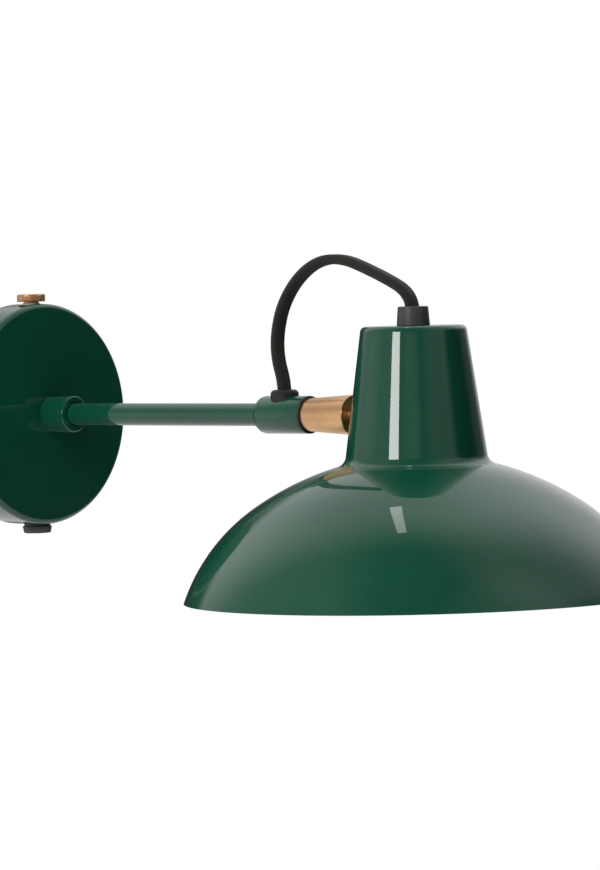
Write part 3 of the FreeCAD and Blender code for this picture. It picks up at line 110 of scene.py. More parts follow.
def store(name, points, faces, sharp_angle=None):
    """Make a mesh object at the origin from a points array and a list of face arrays."""
    mesh = bpy.data.meshes.new(name)
    mesh.from_pydata(points.tolist(), [], [f for block in faces for f in block.tolist()])
    mesh.validate()
    mesh.shade_smooth()
    obj = linked(name, mesh)
    if sharp_angle is not None:
        mesh.set_sharp_from_angle(angle=math.radians(sharp_angle))
    return obj


def grid_faces(rows, columns, offset=0, close_columns=True, close_rows=False):
    """Quads of a grid of points, row by row; columns (and rows) may close on themselves."""
    r = np.arange(rows if close_rows else rows - 1)[:, None]
    c = np.arange(columns if close_columns else columns - 1)[None, :]
    r2, c2 = (r + 1) % rows, (c + 1) % columns
    quads = np.stack([r * columns + c, r * columns + c2, r2 * columns + c2, r2 * columns + c], -1)
    return quads.reshape(-1, 4) + offset


def spun(name, profile, axis, centre, segments=192, wobble=None, sharp_angle=35):
    """Surface of revolution: point (h, r) of the profile goes to height h along the axis and
    radius r around it at every angle. A profile of a solid runs so that the outside lies on its
    right when seen with the axis up; closed profiles repeat no point. wobble(h, r, angle) gives
    a changed radius."""
    profile = np.array(profile, float)
    open_start, open_end = profile[0, 1] > ON_AXIS, profile[-1, 1] > ON_AXIS
    inner = profile[0 if open_start else 1:len(profile) if open_end else -1]
    angle = np.linspace(0, 2 * math.pi, segments, endpoint=False)[None, :]
    h = np.repeat(inner[:, :1], segments, 1)
    r = np.repeat(inner[:, 1:], segments, 1)
    if wobble is not None:
        r = wobble(h, r, np.repeat(angle, len(inner), 0))
    u, v = r * np.cos(angle), r * np.sin(angle)
    stacked = np.stack([h, u, v], -1) if axis == ARM_AXIS else np.stack([u, v, h], -1)
    points = stacked.reshape(-1, 3)
    faces = [grid_faces(len(inner), segments, close_rows=open_start and open_end)]
    ring = np.arange(segments)
    for at_start, end in ((True, profile[0]), (False, profile[-1])):
        if end[1] < ON_AXIS:
            pole = [end[0], 0, 0] if axis == ARM_AXIS else [0, 0, end[0]]
            points = np.vstack([points, pole])
            base = 0 if at_start else (len(inner) - 1) * segments
            ahead, here = base + (ring + 1) % segments, base + ring
            order = (ahead, here) if at_start else (here, ahead)
            faces.append(np.stack([*order, np.full(segments, len(points) - 1)], -1))
    obj = store(name, points + np.array(centre), faces)
    outward(obj)
    obj.data.set_sharp_from_angle(angle=math.radians(sharp_angle))
    return obj


def values_of(items, attribute, kind=float, width=3):
    """One attribute of all of a mesh's points, faces or corners, as the rows of an array."""
    values = np.empty(len(items) * width, kind)
    items.foreach_get(attribute, values)
    return values.reshape(-1, width)


def outward(obj):
    """Turn every face of a closed mesh outward, by the sign of its volume."""
    mesh = obj.data
    mesh.calc_loop_triangles()
    corners = values_of(mesh.vertices, "co")
    tris = values_of(mesh.loop_triangles, "vertices", np.int32)
    a, b, c = (corners[tris[:, k]] - corners.mean(0) for k in range(3))
    if np.einsum("ij,ij->i", a, np.cross(b, c)).sum() < 0:
        mesh.flip_normals()


def arc(centre, radius, first, last, steps):
    """Points (h, r) on a circle about centre, from angle first to last in degrees, where 0
    points outward and 90 along the axis."""
    turns = np.radians(np.linspace(first, last, steps))
    return [(centre[0] + radius * math.sin(t), centre[1] + radius * math.cos(t)) for t in turns]


def eased(profile, easings):
    """Round the corners of a profile: easings gives the radius at a point's index. A corner
    becomes five points of the arc that touches both of its sides."""
    points = [Vector(p) for p in profile]
    count = len(points)
    result = []
    for i, corner in enumerate(points):
        radius = easings.get(i, 0)
        if not radius:
            result.append(tuple(corner))
            continue
        back = (points[i - 1] - corner).normalized()
        ahead = (points[(i + 1) % count] - corner).normalized()
        half = back.angle(ahead) / 2
        reach = radius / math.tan(half)
        centre = corner + (back + ahead).normalized() * (radius / math.sin(half))
        start, finish = corner + back * reach - centre, corner + ahead * reach - centre
        whole = start.angle(finish)
        for k in range(5):
            t = k / 4
            point = (start * math.sin((1 - t) * whole) + finish * math.sin(t * whole))
            result.append(tuple(centre + point / math.sin(whole)))
    return result


def dense(profile, step):
    """Add points on the long straight stretches of a profile, about one each step."""
    result = []
    for (h0, r0), (h1, r1) in zip(profile, profile[1:] + profile[:1]):
        parts = max(1, round(math.hypot(h1 - h0, r1 - r0) / step))
        result += [(h0 + (h1 - h0) * k / parts, r0 + (r1 - r0) * k / parts) for k in range(parts)]
    return result


# ---- materials

def shade_of(code):
    """Linear colour of an sRGB hex code such as 00301f."""
    values = [int(code[i:i + 2], 16) / 255 for i in (0, 2, 4)]
    return (*(v / 12.92 if v <= 0.04045 else ((v + 0.055) / 1.055) ** 2.4 for v in values), 1)


def tone(colour, factor):
    """A colour made darker or lighter by a factor."""
    return (*(min(1.0, part * factor) for part in tuple(colour)[:3]), 1.0)


def new_material(name, colour, roughness, metallic=0.0):
    """A material with its surface shader set; returns (material, node tree, shader)."""
    material = bpy.data.materials.new(name)
    material.use_nodes = True
    tree = material.node_tree
    shader = tree.nodes["Principled BSDF"]
    shader.inputs["Base Color"].default_value = tone(colour, 1)
    shader.inputs["Roughness"].default_value = roughness
    shader.inputs["Metallic"].default_value = metallic
    return material, tree, shader


def add(tree, kind, links=None, **settings):
    """Add a node, set its properties or input values, and link its inputs."""
    node = tree.nodes.new("ShaderNode" + kind)
    for key, value in settings.items():
        if key in node.bl_rna.properties:
            setattr(node, key, value)
        else:
            node.inputs[key.replace("_", " ")].default_value = value
    for socket, source in (links or {}).items():
        tree.links.new(source, node.inputs[socket])
    return node


def place_of(tree, stretch=(1, 1, 1)):
    """Object coordinates in metres, stretched."""
    coordinates = add(tree, "TexCoord")
    mapping = add(tree, "Mapping", {"Vector": coordinates.outputs["Object"]}, Scale=stretch)
    return mapping.outputs["Vector"]


def mottle(tree, shader, place, size, colour, spread):
    """Vary the base colour softly round a colour with noise of size blotches per metre; spread
    is how much darker and lighter it gets."""
    noise = add(tree, "TexNoise", {"Vector": place}, Scale=size, Detail=4.0)
    ramp = add(tree, "ValToRGB", {"Fac": noise.outputs["Fac"]})
    low, high = ramp.color_ramp.elements
    low.position, high.position = 0.35, 0.65
    low.color, high.color = tone(colour, 1 - spread), tone(colour, 1 + spread)
    tree.links.new(ramp.outputs["Color"], shader.inputs["Base Color"])
    return noise.outputs["Fac"]


def uneven(tree, shader, source, low, high):
    """Spread a 0 to 1 value over a range of roughness."""
    spread = add(tree, "MapRange", {"Value": source}, To_Min=low, To_Max=high)
    tree.links.new(spread.outputs["Result"], shader.inputs["Roughness"])


def relief(tree, shader, source, strength, distance):
    """Bump from a height value."""
    bump = add(tree, "Bump", {"Height": source}, Strength=strength, Distance=distance)
    tree.links.new(bump.outputs["Normal"], shader.inputs["Normal"])


def green_enamel(colour):
    """Bottle-green stove enamel, sprayed and fired: a deep colour under a clear, wet-looking
    gloss with a very slight orange peel of about 2.4 mm waves."""
    material, tree, shader = new_material("green_enamel", colour, 0.35)
    shader.inputs["Coat Weight"].default_value = 1.0
    shader.inputs["Coat Roughness"].default_value = 0.03
    shader.inputs["Specular IOR Level"].default_value = 0.08
    place = place_of(tree)
    mottle(tree, shader, place, 22, colour, 0.07)
    peel = add(tree, "TexNoise", {"Vector": place}, Scale=420.0, Detail=2.0)
    relief(tree, shader, peel.outputs["Fac"], 0.03, 0.0004)
    dust = add(tree, "TexNoise", {"Vector": place}, Scale=60.0, Detail=6.0)
    uneven(tree, shader, dust.outputs["Fac"], 0.3, 0.42)
    return material


def white_enamel(colour):
    """White reflector enamel inside the shade, a little warm, softly glossy."""
    material, tree, shader = new_material("white_enamel", colour, 0.25)
    place = place_of(tree)
    cloud = mottle(tree, shader, place, 18, colour, 0.03)
    uneven(tree, shader, cloud, 0.2, 0.32)
    return material


def turned_brass(colour):
    """Satin brass off the lathe: fine rings across the axis, 0.2 mm apart, seen as a soft
    streak of light; drawn a little coarser than real turning marks so that they show."""
    material, tree, shader = new_material("turned_brass", colour, 0.32, 1.0)
    shader.inputs["Anisotropic"].default_value = 0.5
    place = place_of(tree, (1, 0.02, 0.02))
    rings = add(tree, "TexNoise", {"Vector": place}, Scale=5200.0, Detail=3.0)
    relief(tree, shader, rings.outputs["Fac"], 0.12, 0.00006)
    warm = place_of(tree)
    mottle(tree, shader, warm, 90, colour, 0.09)
    uneven(tree, shader, rings.outputs["Fac"], 0.26, 0.4)
    return material


def moulded(name, colour, roughness, grain=900.0):
    """Moulded black plastic or rubber: faint mottling and a fine grain of about a millimetre."""
    material, tree, shader = new_material(name, colour, roughness)
    place = place_of(tree)
    mottle(tree, shader, place, 140, colour, 0.12)
    skin = add(tree, "TexNoise", {"Vector": place}, Scale=grain, Detail=3.0)
    relief(tree, shader, skin.outputs["Fac"], 0.15, 0.00008)
    uneven(tree, shader, skin.outputs["Fac"], roughness - 0.06, roughness + 0.08)
    return material


def black_plastic(colour):
    """Moulded ABS of the push-button and the friction washer, fairly smooth."""
    return moulded("black_plastic", colour, 0.36)


def satin_black(colour):
    """Turned nylon grip: satin, with soft upright highlights."""
    return moulded("satin_black", colour, 0.4)


def black_rubber(colour):
    """Moulded rubber grommet, dull."""
    return moulded("black_rubber", colour, 0.6, 1400.0)


def bakelite(colour):
    """Pressed phenolic resin of the lampholder: nearly black, glossy."""
    return moulded("bakelite", colour, 0.24, 300.0)


def plated(name, colour, roughness):
    """Plated metal: cloudy sheen with fine scratches."""
    material, tree, shader = new_material(name, colour, roughness, 1.0)
    place = place_of(tree)
    cloud = mottle(tree, shader, place, 240, colour, 0.12)
    uneven(tree, shader, cloud, roughness - 0.08, roughness + 0.12)
    lines = place_of(tree, (1, 1, 0.05))
    scratch = add(tree, "TexNoise", {"Vector": lines}, Scale=2400.0)
    relief(tree, shader, scratch.outputs["Fac"], 0.08, 0.00005)
    return material


def zinc_steel(colour):
    """Zinc-plated steel of bracket, nuts, washers and screws: bluish grey, cloudy."""
    return plated("zinc_steel", colour, 0.34)


def nickel_brass(colour):
    """Nickel-plated brass of contacts, thread shell and terminals: warm pale grey."""
    return plated("nickel_brass", colour, 0.26)


def glazed(name, colour, roughness):
    """Glazed ceramic or natural nylon: pale, even, slightly cloudy, light enters a little."""
    material, tree, shader = new_material(name, colour, roughness)
    shader.inputs["Subsurface Weight"].default_value = 0.08
    shader.inputs["Subsurface Scale"].default_value = 0.002
    place = place_of(tree)
    cloud = mottle(tree, shader, place, 160, colour, 0.05)
    uneven(tree, shader, cloud, roughness - 0.05, roughness + 0.08)
    return material


def ceramic(colour):
    """Glazed steatite of the lampholder's insert."""
    return glazed("ceramic", colour, 0.2)


def white_nylon(colour):
    """Natural nylon of the terminal block and the knurled screw's washer."""
    return glazed("white_nylon", colour, 0.4)


def braided_textile(colour):
    """Black cotton braid over two cores: two families of crossing strands from the cord's own
    map, where U runs round the cord and V along it, one unit for each repeat. The colour is
    darkened down between the strands as painted shade and lightened on their tops as painted
    highlight."""
    material, tree, shader = new_material("textile_cord", colour, 0.85)
    shader.inputs["Sheen Weight"].default_value = 0.12
    shader.inputs["Sheen Roughness"].default_value = 0.5
    shader.inputs["Specular IOR Level"].default_value = 0.25
    uv = add(tree, "UVMap", uv_map="braid")
    split = add(tree, "SeparateXYZ", {"Vector": uv.outputs["UV"]})
    waves = []
    for sign in (1, -1):
        lean = add(tree, "Math", {0: split.outputs["X"]}, operation="MULTIPLY")
        lean.inputs[1].default_value = 16.0 * sign
        along = add(tree, "Math", {0: split.outputs["Y"], 1: lean.outputs[0]}, operation="ADD")
        turn = add(tree, "Math", {0: along.outputs[0]}, operation="MULTIPLY")
        turn.inputs[1].default_value = 2 * math.pi
        waves.append(add(tree, "Math", {0: turn.outputs[0]}, operation="SINE"))
    over = add(tree, "Math", {0: waves[0].outputs[0], 1: waves[1].outputs[0]},
               operation="MAXIMUM")
    height = add(tree, "MapRange", {"Value": over.outputs[0]}, From_Min=-1.0)
    # painted shade and painted highlight: the colour drops to about a third of the cord's own
    # colour down between the strands and rises above it on their tops
    ramp = add(tree, "ValToRGB", {"Fac": height.outputs["Result"]})
    low, high = ramp.color_ramp.elements
    low.position, low.color, high.color = 0.25, tone(colour, 0.35), tone(colour, 1.3)
    tree.links.new(ramp.outputs["Color"], shader.inputs["Base Color"])
    relief(tree, shader, height.outputs["Result"], 0.7, 0.00025)
    return material


# Each finish by name: the colour setting it uses and the function that makes it.
FINISHES = {
    "green_enamel": ("enamel", green_enamel),
    "white_enamel": ("reflector", white_enamel),
    "turned_brass": ("brass", turned_brass),
    "black_plastic": ("plastic", black_plastic),
    "satin_black": ("grip", satin_black),
    "black_rubber": ("rubber", black_rubber),
    "textile_cord": ("cord", braided_textile),
    "zinc_steel": ("zinc", zinc_steel),
    "bakelite": ("resin", bakelite),
    "ceramic": ("ceramic", ceramic),
    "nickel_brass": ("nickel", nickel_brass),
    "white_nylon": ("nylon", white_nylon),
}


def material_for(name):
    """The named finish, made at its first use; solids come with plain materials of the slots'
    names, so a finish is looked up by its own name."""
    finish = bpy.data.materials.get(name + "_finish")
    if finish is None:
        setting, maker = FINISHES[name]
        finish = maker(getattr(bpy.context.scene.wall_lamp_colours, setting))
        finish.name = name + "_finish"
    return finish


def dress(obj, finish, body, node):
    """Give a piece its finish and the body it rides on, if any, and hide the solid of the node it
    stands for."""
    obj.data.materials.clear()
    obj.data.materials.append(material_for(finish))
    if body is not None:
        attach(obj, body)
    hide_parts(node)


# ---- the pieces

def build_wall_cup(sizes):
    """Spun cup: straight side, rounded edge and a face crowned as a sphere of CROWN radius
    round the hub's flat land; the sheet's inside is the same curve one wall further in."""
    radius, height, crown = sizes.cup_radius, sizes.cup_depth, sizes.cup_crown
    wall, edge, land, hole = 1.0 * MM, 2.6 * MM, 9.5 * MM, 5.25 * MM
    crown_centre = height - math.sqrt(crown ** 2 - land ** 2)
    run = math.sqrt((crown - edge) ** 2 - (radius - edge) ** 2)
    edge_centre = (crown_centre + run, radius - edge)
    lean = math.degrees(math.atan2(run, radius - edge))
    land_turn = math.degrees(math.acos(land / crown))
    outside = ([(0, radius)] + arc(edge_centre, edge, 0, lean, 14)
               + arc((crown_centre, 0), crown, lean, land_turn, 26)[1:] + [(height, hole)])
    inside = ([(height - wall, hole), (height - wall, land)]
              + arc((crown_centre, 0), crown - wall, land_turn, lean, 26)
              + arc(edge_centre, edge - wall, lean, 0, 8)[1:] + [(0, radius - wall)])
    cup = spun("wall_cup_surface", outside + inside, ARM_AXIS, (0, 0, 0), sizes.segments,
               sharp_angle=50)
    dress(cup, "green_enamel", "base", "wall_cup")


def on_arm(name, profile, sizes):
    """A turned piece about the arm's axis, from its profile in mm."""
    return spun(name, scaled(profile), ARM_AXIS, (0, 0, 0), sizes.segments)


def build_arm(sizes):
    """Hub with its eased edge and countersink, long tube, and sleeve with a rounded end and
    the cord's hole."""
    hub_r, tube_r, sleeve_r = (v / MM for v in (sizes.hub_radius, sizes.tube_radius,
                                                sizes.sleeve_radius))
    around = tube_r + 0.02
    countersink, chamber_end, chamber_r, bore = 0.6, 172.0, 6.6, 3.02
    hub = eased([(CUP_FACE, around), (CUP_FACE, hub_r), (HUB_END, hub_r),
                 (HUB_END, around + countersink), (HUB_END - countersink, around)],
                {1: 0.15, 2: 0.7, 3: 0.12})
    piece = on_arm("arm_hub_surface", hub, sizes)
    dress(piece, "green_enamel", "base", "arm_hub")
    pipe = [(TUBE_START, tube_r - 1), (TUBE_START, tube_r), (TUBE_END, tube_r),
            (TUBE_END, tube_r - 1)]
    piece = on_arm("arm_tube_surface", dense(pipe, 3.0), sizes)
    dress(piece, "green_enamel", "base", "arm_tube")
    sleeve = eased([(SLEEVE_START, around), (SLEEVE_START, sleeve_r), (SLEEVE_END, sleeve_r),
                    (SLEEVE_END, bore), (chamber_end, bore), (chamber_end, chamber_r),
                    (TUBE_END, chamber_r), (TUBE_END, around)], {0: 0.2, 1: 3.0, 2: 0.25})
    piece = on_arm("arm_sleeve_surface", sleeve, sizes)
    drill(piece, (CORD_EXIT_X, 0, 8 * MM), 4.6 * MM, 8 * MM)
    dress(piece, "green_enamel", "base", "arm_sleeve")
    ring = eased([(SLEEVE_END, STUD_HOLE), (SLEEVE_END, sleeve_r), (WASHER_END, sleeve_r),
                  (WASHER_END, STUD_HOLE)], {1: 0.2, 2: 0.2})
    piece = on_arm("friction_washer_surface", ring, sizes)
    dress(piece, "black_plastic", "base", "friction_washer")


def scaled(profile):
    """A profile in mm as metres."""
    return [(h * MM, r * MM) for h, r in profile]


def drill(obj, centre, radius, depth, axis=UP_AXIS):
    """Cut a round hole through a piece about a centre."""
    cutter = spun("cutter", [(-depth, 0), (-depth, radius), (depth, radius), (depth, 0)], axis,
                  centre, 48)
    cut_with(obj, cutter)


def cut_with(obj, cutter):
    """Take the cutter's room out of a piece, apply it and delete the cutter."""
    change = obj.modifiers.new("cut", "BOOLEAN")
    change.operation, change.object, change.solver = "DIFFERENCE", cutter, "EXACT"
    apply_modifiers(obj)
    bpy.data.objects.remove(cutter)
    obj.data.shade_smooth()
    obj.data.set_sharp_from_angle(angle=math.radians(35))


def apply_modifiers(obj):
    """Replace a piece's mesh by what its modifiers make of it."""
    bpy.context.view_layer.update()
    shown = obj.evaluated_get(bpy.context.evaluated_depsgraph_get())
    mesh = bpy.data.meshes.new_from_object(shown)
    obj.modifiers.clear()
    obj.data = mesh


def build_swivel(sizes):
    """Brass cone with its spigot; the spigot's end is cut by the neck's own cone."""
    start, end = sizes.cone_start / MM, sizes.cone_end / MM
    spigot_r = 4.3
    cone = eased([(CONE_FOOT, STUD_HOLE), (CONE_FOOT, start), (CONE_FRONT, end),
                  (CONE_FRONT, spigot_r), (SPIGOT_END, spigot_r), (SPIGOT_END, STUD_HOLE)],
                 {1: 0.35, 2: 0.35, 3: 0.2})
    piece = on_arm("swivel_cone_surface", dense(cone, 0.8), sizes)
    wide = sizes.neck_radius / MM
    neck = [(-20, 0), (-20, wide + 2.8), (20, wide - 2.8), (20, 0)]
    cut_with(piece, spun("cutter", scaled(neck), UP_AXIS, (SHADE_X, 0, 0), 256))
    dress(piece, "turned_brass", "head", "swivel_cone")


def shade_profile(sizes):
    """Profile of the spun shade in mm as (z, r), its outside and then its inside: flat top,
    rounded edge, cone, hollow, a crown arc centred on the axis and a shoulder arc down to the
    rim. Each inner curve is its outer one moved in by the wall."""
    crown, shoulder, neck, rim = (v / MM for v in (sizes.crown_radius, sizes.shoulder_radius,
                                                   sizes.neck_radius, sizes.rim_radius))
    wall, edge, foot, slope, hole = 1.2, 2.6, 5.0, 0.14, 5.25
    top, rim_z, low_z = NECK_TOP, RIM_LEVEL, -105.5
    lean = math.sqrt(1 + slope ** 2)
    tilt = math.degrees(math.atan(slope))
    edge_at = (top - edge, neck - slope * (top - edge) - edge * lean)
    low_r = rim - math.sqrt(shoulder ** 2 - (rim_z - low_z) ** 2)
    lift = math.sqrt((crown - shoulder) ** 2 - low_r ** 2)
    high_z = low_z - lift
    base = neck + foot * lean - slope * high_z
    outer = crown + foot
    climb = (base * slope + math.sqrt(lean ** 2 * outer ** 2 - base ** 2)) / lean ** 2
    foot_at = (high_z + climb, base - slope * climb)
    to_foot = math.degrees(math.atan2(climb, foot_at[1]))
    to_joint = math.degrees(math.atan2(lift, low_r))

    def side(inset):
        """One face of the sheet from its top to its rim."""
        to_rim = math.degrees(math.asin((rim_z - low_z) / (shoulder - inset)))
        return (arc(edge_at, edge - inset, 90, tilt, 12)
                + arc(foot_at, foot + inset, 180 + tilt, 180 + to_foot, 14)
                + arc((high_z, 0), crown - inset, to_foot, to_joint, 26)[1:]
                + arc((low_z, low_r), shoulder - inset, to_joint, to_rim, 44)[1:])

    return [(top, hole)] + side(0) + side(wall)[::-1] + [(top - wall, hole)]


def build_shade(sizes):
    """Green outside with a turned rim edge, and white reflector enamel inside."""
    points = dense(shade_profile(sizes), 4.0)
    shade = spun("shade_surface", scaled(points), UP_AXIS, (SHADE_X, 0, 0), sizes.segments,
                 sharp_angle=60)
    drill(shade, (SHADE_X - 27 * MM, 0, 0), 3.25 * MM, 6 * MM, ARM_AXIS)
    dress(shade, "green_enamel", "head", "shade")
    shade.data.materials.append(material_for("white_enamel"))
    paint_inside(shade)


def paint_inside(shade):
    """Faces that look towards the shade's axis, or down from above the rim's edge, are white,
    up to just under the neck's top; the test is the sign of the normal's outward part."""
    mesh = shade.data
    centres = values_of(mesh.polygons, "center") - np.array((SHADE_X, 0, 0))
    normals = values_of(mesh.polygons, "normal")
    rim_edge, under_top = -77.5 * MM, 37.5 * MM
    radius = np.hypot(centres[:, 0], centres[:, 1])
    outward_part = (centres[:, 0] * normals[:, 0] + centres[:, 1] * normals[:, 1]) / radius
    under = (outward_part < -0.05) | ((normals[:, 2] < -0.2) & (centres[:, 2] > rim_edge))
    under &= centres[:, 2] < under_top
    mesh.polygons.foreach_set("material_index", under.astype(np.int32))
    mesh.update()


def build_cord_fittings(sizes):
    """Rubber grommet on the sleeve and turned grip on the neck's top, both with a flat slot."""
    flange = eased([(0.0, 0), (0.0, 6.2), (10.95, 6.2), (10.95, 0)], {2: 1.9})
    grommet = spun("cord_grommet_surface", scaled(flange), UP_AXIS, (CORD_EXIT_X, 0, 0), 96)
    barrel = [(-30, 0), (-30, 8.23), (30, 8.23), (30, 0)]
    cut_with(grommet, spun("cutter", scaled(barrel), ARM_AXIS, (CORD_EXIT_X, 0, 0), 192))
    slot_through(grommet, sizes, CORD_EXIT_X, 0.1)
    dress(grommet, "black_rubber", "base", "cord_grommet")
    wide = sizes.grip_radius / MM
    thread = 5.02
    body = eased([(NECK_TOP, thread), (NECK_TOP, wide), (GRIP_TOP, wide - 0.65), (GRIP_TOP, 0),
                  (GRIP_FLOOR, 0), (GRIP_FLOOR, thread)], {1: 0.2, 2: 0.6})
    grip = spun("cord_grip_surface", scaled(body), UP_AXIS, (SHADE_X, 0, 0), 128)
    slot_through(grip, sizes, SHADE_X, 0.3)
    dress(grip, "satin_black", "head", "cord_grip")


def cord_section(sizes, gap, steps):
    """Corners (across, up) of the flat cord's section: two half circles of half its thickness
    on the ends of a flat, all moved out by gap. steps is the number of points on each end."""
    end = sizes.cord_thickness / 2 + gap
    flat = (sizes.cord_width - sizes.cord_thickness) / 2
    turns = np.radians(np.linspace(-90, 90, steps))
    across = np.concatenate([flat + end * np.cos(turns), -flat - end * np.cos(turns)])
    return across, np.concatenate([end * np.sin(turns), -end * np.sin(turns)])


def capped(name, points):
    """A closed tube from an array of rings (rows, columns, 3), with a lid on each end."""
    rows, columns = points.shape[:2]
    obj = store(name, points.reshape(-1, 3), [grid_faces(rows, columns),
                np.arange(columns)[None, ::-1], np.arange((rows - 1) * columns,
                                                          rows * columns)[None]])
    outward(obj)
    return obj


def slot_through(obj, sizes, x, gap):
    """Cut the flat cord's slot, gap mm larger all round, upright through a piece at x."""
    across, along = cord_section(sizes, gap * MM, 13)
    rings = [np.column_stack([x + along, across, np.full(len(along), z)])
             for z in (1 * MM, 60 * MM)]
    cut_with(obj, capped("cutter", np.array(rings)))


def knurled(low, high, radius, depth, count):
    """Straight knurling between two heights: the radius falls by depth in a V at each of
    count grooves, as depth times how near the angle is to a groove's middle."""
    def change(h, r, angle):
        wave = np.abs(((angle * count / (2 * math.pi)) % 1) - 0.5) * 2
        inside = (h > low) & (h < high) & (r > radius * 0.9)
        return np.where(inside, r - depth * np.clip(wave * 2 - 1, 0, 1), r)
    return change


def build_thumbscrew(sizes):
    """Knurled brass head over a plain collar, with a domed top and a long shank."""
    head = sizes.knob_radius / MM
    profile = eased([(42.4, 0), (42.4, 2.0), (51.0, 2.0), (51.0, 3.4), (51.6, 3.4),
                     (51.6, head), (55.0, head), (55.0, 0)], {1: 0.4, 3: 0.1, 5: 0.35, 6: 0.45})
    shape = knurled(51.7 * MM, 54.9 * MM, sizes.knob_radius, sizes.knurl_depth,
                    sizes.knurl_count)
    screw = spun("thumbscrew_surface", scaled(dense(profile, 0.5)), UP_AXIS, (FIXINGS_X, 0, 0),
                 sizes.knurl_count * 8, shape, sharp_angle=40)
    dress(screw, "turned_brass", "knurled_screw", "thumbscrew")


def build_button(sizes):
    """Tapered push-button with a rounded end, hollow over its ring nut, and its stem."""
    wide = sizes.button_radius / MM
    profile = eased([(-54.6, 0), (-54.6, wide - 0.65), (-51.4, wide), (-51.4, wide - 0.6),
                     (-52.7, wide - 0.6), (-52.7, 2.6), (-42.4, 2.6), (-42.4, 0)],
                    {1: 0.7, 2: 0.15})
    button = spun("push_button_surface", scaled(profile), UP_AXIS, (FIXINGS_X, 0, 0), 96)
    dress(button, "black_plastic", "push_button", "switch_button")


def build_thread_shell():
    """Screw shell with the lamp's round thread: its inner radius is 13.3 mm at the widest, less
    half a wave's height, plus a sine of the turn of that height, seven turns to the inch,
    fading out at both ends."""
    low, high, pitch, wall, widest, swing = -13.7, 7.3, 25.4 / 7, 0.4, 13.3, 0.35
    rows, segments = 120, 120
    z = np.linspace(low, high, rows)[:, None]
    angle = np.linspace(0, 2 * math.pi, segments, endpoint=False)[None, :]
    fade = np.clip(np.minimum(z - low, high - z) / 1.5, 0, 1)
    wave = swing * fade * np.sin(2 * math.pi * z / pitch - angle)
    shells = []
    for radius in (widest + wall, widest):
        r = radius - swing + wave
        shells.append(np.stack([r * np.cos(angle), r * np.sin(angle), z + 0 * angle], -1))
    points = np.vstack([shells[0], shells[1][::-1]]).reshape(-1, 3) * MM
    shell = store("thread_shell_surface", points + np.array((SHADE_X, 0, 0)),
                  [grid_faces(2 * rows, segments, close_rows=True)], 60)
    outward(shell)
    dress(shell, "nickel_brass", "head", "thread_shell")


# ---- the free cord

def route_points(route):
    """Points along a cord's line, from a NURBS curve of order 3 with the route's points as its
    control points."""
    curve = bpy.data.curves.new("cord_line", "CURVE")
    curve.dimensions = "3D"
    curve.resolution_u = 24
    spline = curve.splines.new("NURBS")
    spline.points.add(len(route) - 1)
    for point, (x, z) in zip(spline.points, route):
        point.co = (x * MM, 0, z * MM, 1)
    spline.order_u = 3
    spline.use_endpoint_u = True
    line = linked("cord_line", curve)
    bpy.context.view_layer.update()
    mesh = bpy.data.meshes.new_from_object(line)
    points = np.array([v.co for v in mesh.vertices], float)
    bpy.data.objects.remove(line)
    bpy.data.meshes.remove(mesh)
    return points


def swept_cord(name, line, sizes):
    """Flat cord along a line in the plane Y = 0. Its section lies across the line with its long
    side along Y, and its faces sink by a tenth in a bell curve between the two cores. Its map
    "braid" counts once round the cord along U and one braid repeat for each unit of V."""
    tangent = np.gradient(line, axis=0)
    tangent /= np.linalg.norm(tangent, axis=1)[:, None]
    side = np.array((0.0, 1.0, 0.0))
    up = np.cross(tangent, side)
    across, above = cord_section(sizes, 0, 13)
    valley_depth, valley_width = 0.10, 0.9 * MM
    above = above * (1 - valley_depth * np.exp(-(across / valley_width) ** 2))
    cord = capped(name, line[:, None, :] + across[None, :, None] * side
                  + above[None, :, None] * up[:, None, :])
    mesh, columns = cord.data, len(across)
    run = np.concatenate([[0], np.cumsum(np.linalg.norm(np.diff(line, axis=0), axis=1))])
    girth = np.concatenate([[0], np.cumsum(np.hypot(np.diff(across), np.diff(above)))])
    girth /= girth[-1] + sizes.cord_width - sizes.cord_thickness
    vertex = values_of(mesh.loops, "vertex_index", np.int32, 1).ravel()
    u = girth[vertex % columns]
    v = run[vertex // columns] / sizes.braid_step
    starts = values_of(mesh.polygons, "loop_start", np.int32, 1).ravel()
    counts = values_of(mesh.polygons, "loop_total", np.int32, 1).ravel()
    highest = np.repeat(np.maximum.reduceat(u, starts), counts)
    u = np.where(np.repeat(counts == 4, counts) & (highest > 0.9) & (u < 0.1), 1.0, u)
    layer = mesh.uv_layers.new(name="braid")
    layer.data.foreach_set("uv", np.stack([u, v], -1).ravel().astype(np.float32))
    return cord


def build_cord(sizes):
    """The free cord from the grommet up, over and down into the grip."""
    line = route_points(CORD_ROUTE)
    cord = swept_cord("cord_arch_surface", line, sizes)
    dress(cord, "textile_cord", None, "cord_arch")
    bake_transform(cord)


def build_inner_cords(sizes):
    """The leads that run hidden: from the terminal block through the tube up to the grommet,
    and from the grip down to the lampholder."""
    cord = swept_cord("cord_in_arm_surface", route_points(ARM_LEAD), sizes)
    dress(cord, "textile_cord", "base", "cord_in_arm")
    cord = swept_cord("cord_in_shade_surface", route_points(SHADE_LEAD), sizes)
    dress(cord, "textile_cord", "head", "cord_in_shade")


# ---- what stays as the solids are

KEPT_NODES = {
    "zinc_steel": ["wall_bracket", "switch_nut", "hub_washer", "hub_nut", "stop_pin",
                   "pivot_stud", "saddle_washer", "spring_washer", "pivot_nut", "grip_screw",
                   "threaded_nipple", "nipple_washer", "nipple_locknut"],
    "nickel_brass": ["earth_clamp", "earth_screw", "terminal_screws", "switch_tabs",
                     "centre_contact", "holder_terminal_screws"],
    "white_nylon": ["terminal_block", "thumbscrew_washer"],
    "black_plastic": ["switch_body", "switch_ring_nut"],
    "bakelite": ["lampholder_cap", "lampholder_skirt"],
    "ceramic": ["lampholder_insert"],
}


